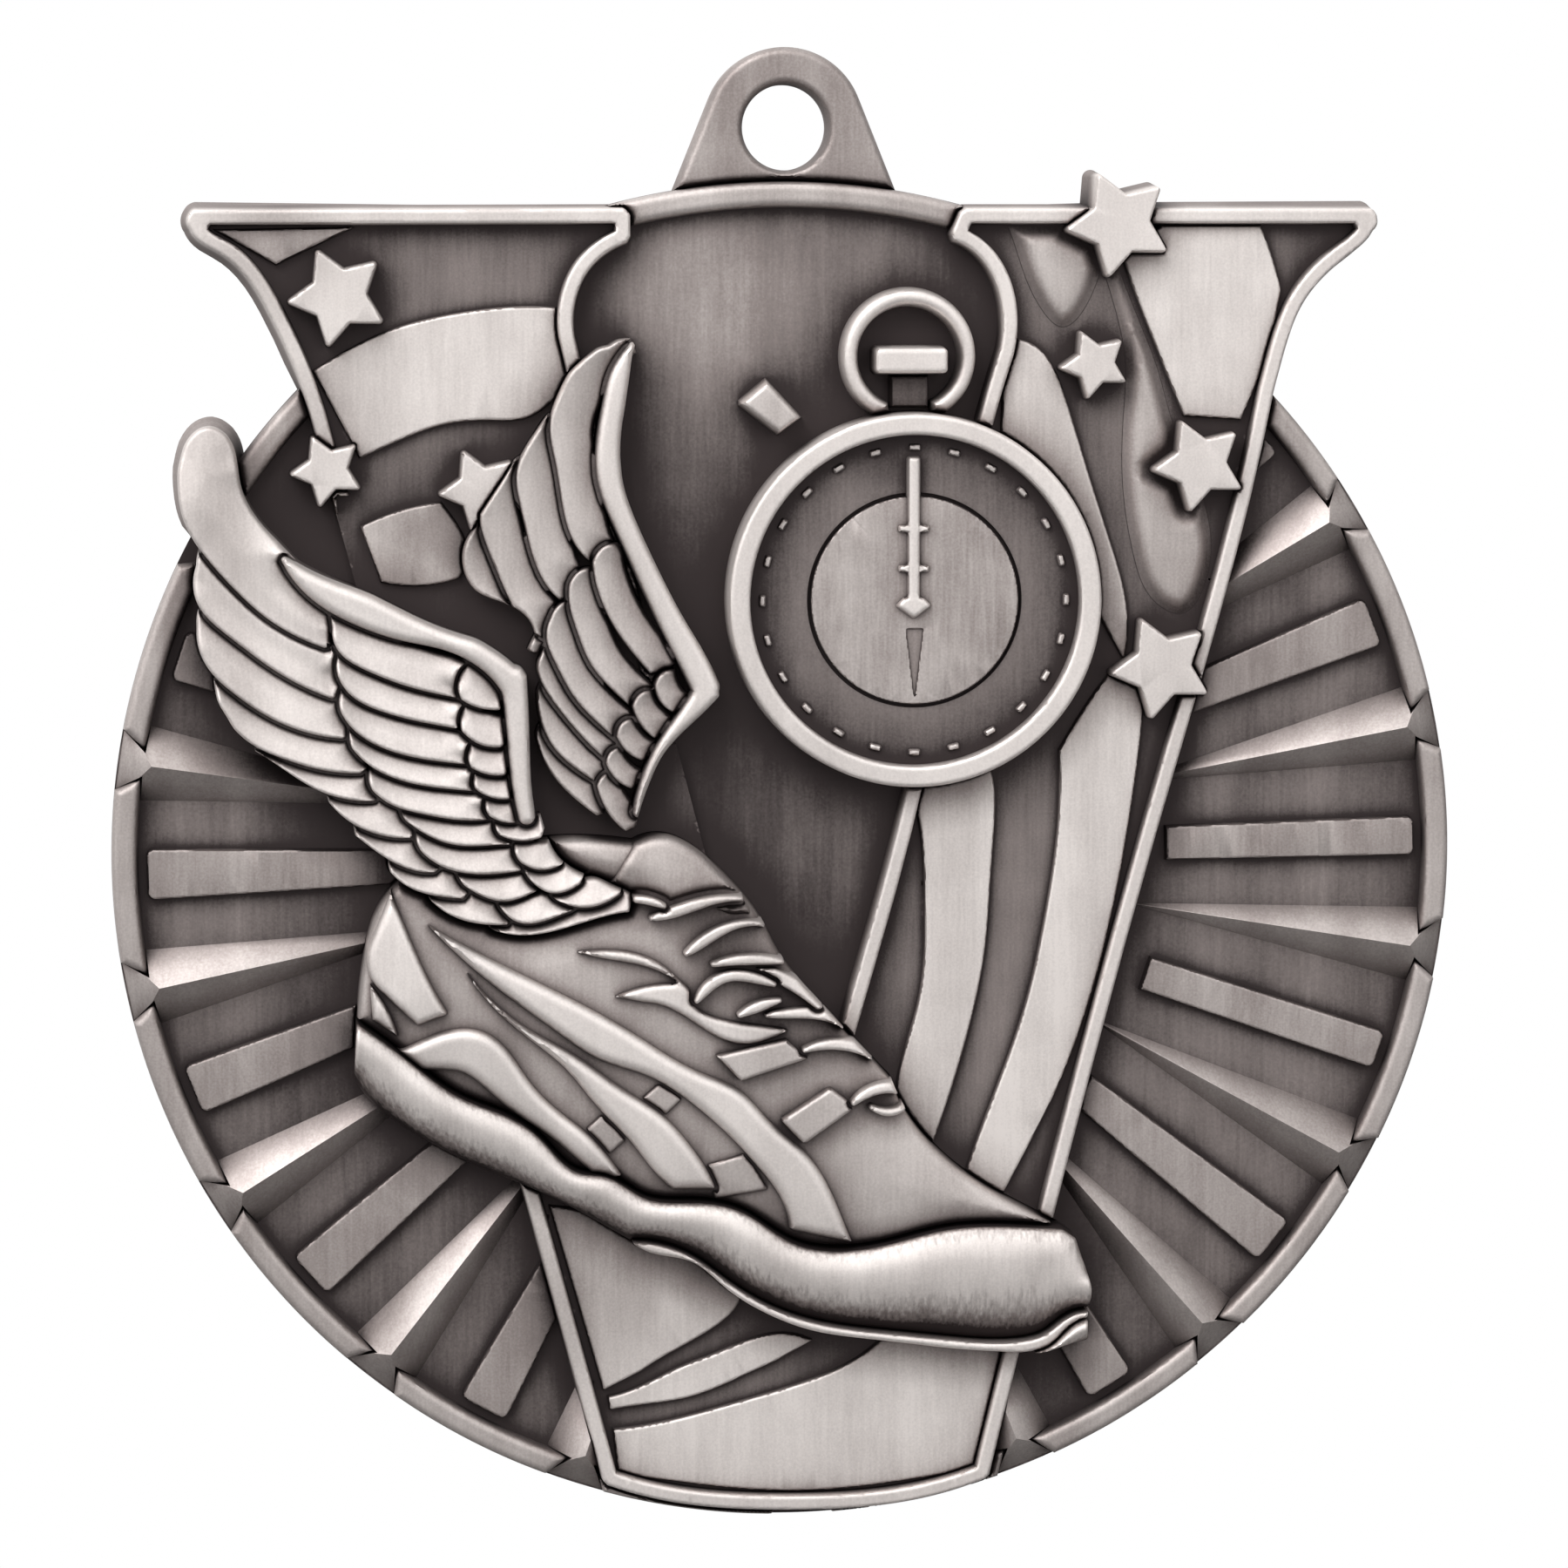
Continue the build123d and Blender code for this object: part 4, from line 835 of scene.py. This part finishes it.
def build_shoe():
    """Running shoe: upper, midsole, outsole and what lies on the upper."""
    relief("upper", "shoe_upper", SUNK, UPPER_METAL, 1.5, wall=0.1, radius=0.3, grid=0.35,
           shape=shoe_skin, rows=(0.15, 0.35, 0.6))
    relief("midsole", "shoe_midsole", BURIED, SOLE_METAL, 1.5, wall=0.03, radius=0.12, grid=0.22,
           shape=sole_bulge, rows=(0.1, 0.2), angle=60)
    relief("outsole", "outsole_edge", SUNK, HIGH_METAL, 1.5, wall=0.04, radius=0.12)
    for name, node, metal, radius in (
            ("tongue", "shoe_tongue", UPPER_METAL, 0.3), ("bands", "side_bands", HIGH_METAL, 0.34),
            ("rungs", "band_rungs", UPPER_METAL, 0.14), ("heel", "heel_tab", STRIPE_METAL, 0.26),
            ("stay", "eyestay", STRIPE_METAL, 0.2), ("strings", "shoe_laces", HIGH_METAL, 0.14),
            ("straps", "lace_straps", UPPER_METAL, 0.14)):
        relief(name, node, 2.3, metal, 2.35, wall=0.05, radius=radius, grid=0.5, shape=shoe_skin,
               rows=(0.2,))


build_disc()
build_pleats()
build_frame()
build_watch()
build_wings()
build_shoe()


# Stage

def build_floor():
    """Pale floor under the medal, plain white to the camera."""
    bpy.ops.mesh.primitive_plane_add(size=4, location=(0, 0, cad_bounds[0][2]))
    floor = bpy.context.object
    floor.name = "floor"
    material, tree = shader("pale_floor")
    surface = tree.nodes.new("ShaderNodeBsdfDiffuse")
    surface.inputs["Color"].default_value = (0.9, 0.9, 0.9, 1)
    glow = tree.nodes.new("ShaderNodeEmission")
    path = tree.nodes.new("ShaderNodeLightPath")
    mix = tree.nodes.new("ShaderNodeMixShader")
    tree.links.new(path.outputs["Is Camera Ray"], mix.inputs[0])
    tree.links.new(surface.outputs[0], mix.inputs[1])
    tree.links.new(glow.outputs[0], mix.inputs[2])
    output = tree.nodes.new("ShaderNodeOutputMaterial")
    tree.links.new(mix.outputs[0], output.inputs[0])
    floor.data.materials.append(material)
    floor.visible_glossy = False
    floor.visible_shadow = False


# Light of the studio by direction: its level, and how it grows upwards and to the left.
SKY_LEVEL = 0.45
SKY_UP = 0.85
SKY_LEFT = -0.35
SKY_LEAST = 0.06


def build_world():
    """White to the camera; in reflections a studio that is bright above and left."""
    world = bpy.data.worlds.new("studio")
    bpy.context.scene.world = world
    world.use_nodes = True
    tree = world.node_tree
    tree.nodes.clear()
    coords = tree.nodes.new("ShaderNodeTexCoord")
    split = tree.nodes.new("ShaderNodeSeparateXYZ")
    tree.links.new(coords.outputs["Generated"], split.inputs[0])
    up = math_node(tree, "MULTIPLY", split.outputs["Z"], SKY_UP)
    left = math_node(tree, "MULTIPLY", split.outputs["X"], SKY_LEFT)
    total = math_node(tree, "ADD", math_node(tree, "ADD", up, left), SKY_LEVEL)
    total = math_node(tree, "MAXIMUM", total, SKY_LEAST)
    studio = tree.nodes.new("ShaderNodeBackground")
    studio.inputs["Color"].default_value = (1, 1, 1, 1)
    tree.links.new(total, studio.inputs["Strength"])
    white = tree.nodes.new("ShaderNodeBackground")
    white.inputs["Color"].default_value = (1, 1, 1, 1)
    white.inputs["Strength"].default_value = 1.0
    path = tree.nodes.new("ShaderNodeLightPath")
    mix = tree.nodes.new("ShaderNodeMixShader")
    tree.links.new(path.outputs["Is Camera Ray"], mix.inputs[0])
    tree.links.new(studio.outputs[0], mix.inputs[1])
    tree.links.new(white.outputs[0], mix.inputs[2])
    output = tree.nodes.new("ShaderNodeOutputWorld")
    tree.links.new(mix.outputs[0], output.inputs[0])


def build_light(name, place, size, power):
    """Square soft light that points at the medal."""
    data = bpy.data.lights.new(name, "AREA")
    data.size = size
    data.energy = power
    light = bpy.data.objects.new(name, data)
    light.location = place
    light.rotation_euler = (-Vector(place)).to_track_quat("-Z", "Y").to_euler()
    bpy.context.scene.collection.objects.link(light)


# Width of the view at the medal, its middle, and the angles it is seen from.
VIEW_WIDTH = 0.05953
VIEW_MIDDLE = (0.0, -0.0011, 0.00263)
AZIMUTH = math.radians(-4.5)
ELEVATION = math.radians(5.5)


def build_camera():
    """Long lens, a little above and to the left of square on."""
    data = bpy.data.cameras.new("camera")
    camera = bpy.data.objects.new("camera", data)
    bpy.context.scene.collection.objects.link(camera)
    data.lens = 135
    data.sensor_width = 36
    distance = VIEW_WIDTH * data.lens / data.sensor_width
    level = math.cos(ELEVATION)
    back = Vector((math.sin(AZIMUTH) * level, -math.cos(AZIMUTH) * level, math.sin(ELEVATION)))
    camera.location = Vector(VIEW_MIDDLE) + back * distance
    camera.rotation_euler = (-back).to_track_quat("-Z", "Y").to_euler()
    data.clip_start = 0.01
    bpy.context.scene.camera = camera


build_floor()
build_world()
build_light("key", (-0.25, -0.35, 0.40), 0.34, 2.2)
build_light("fill", (0.30, -0.50, 0.10), 0.50, 0.7)
build_camera()
bpy.context.scene.view_settings.view_transform = "Standard"
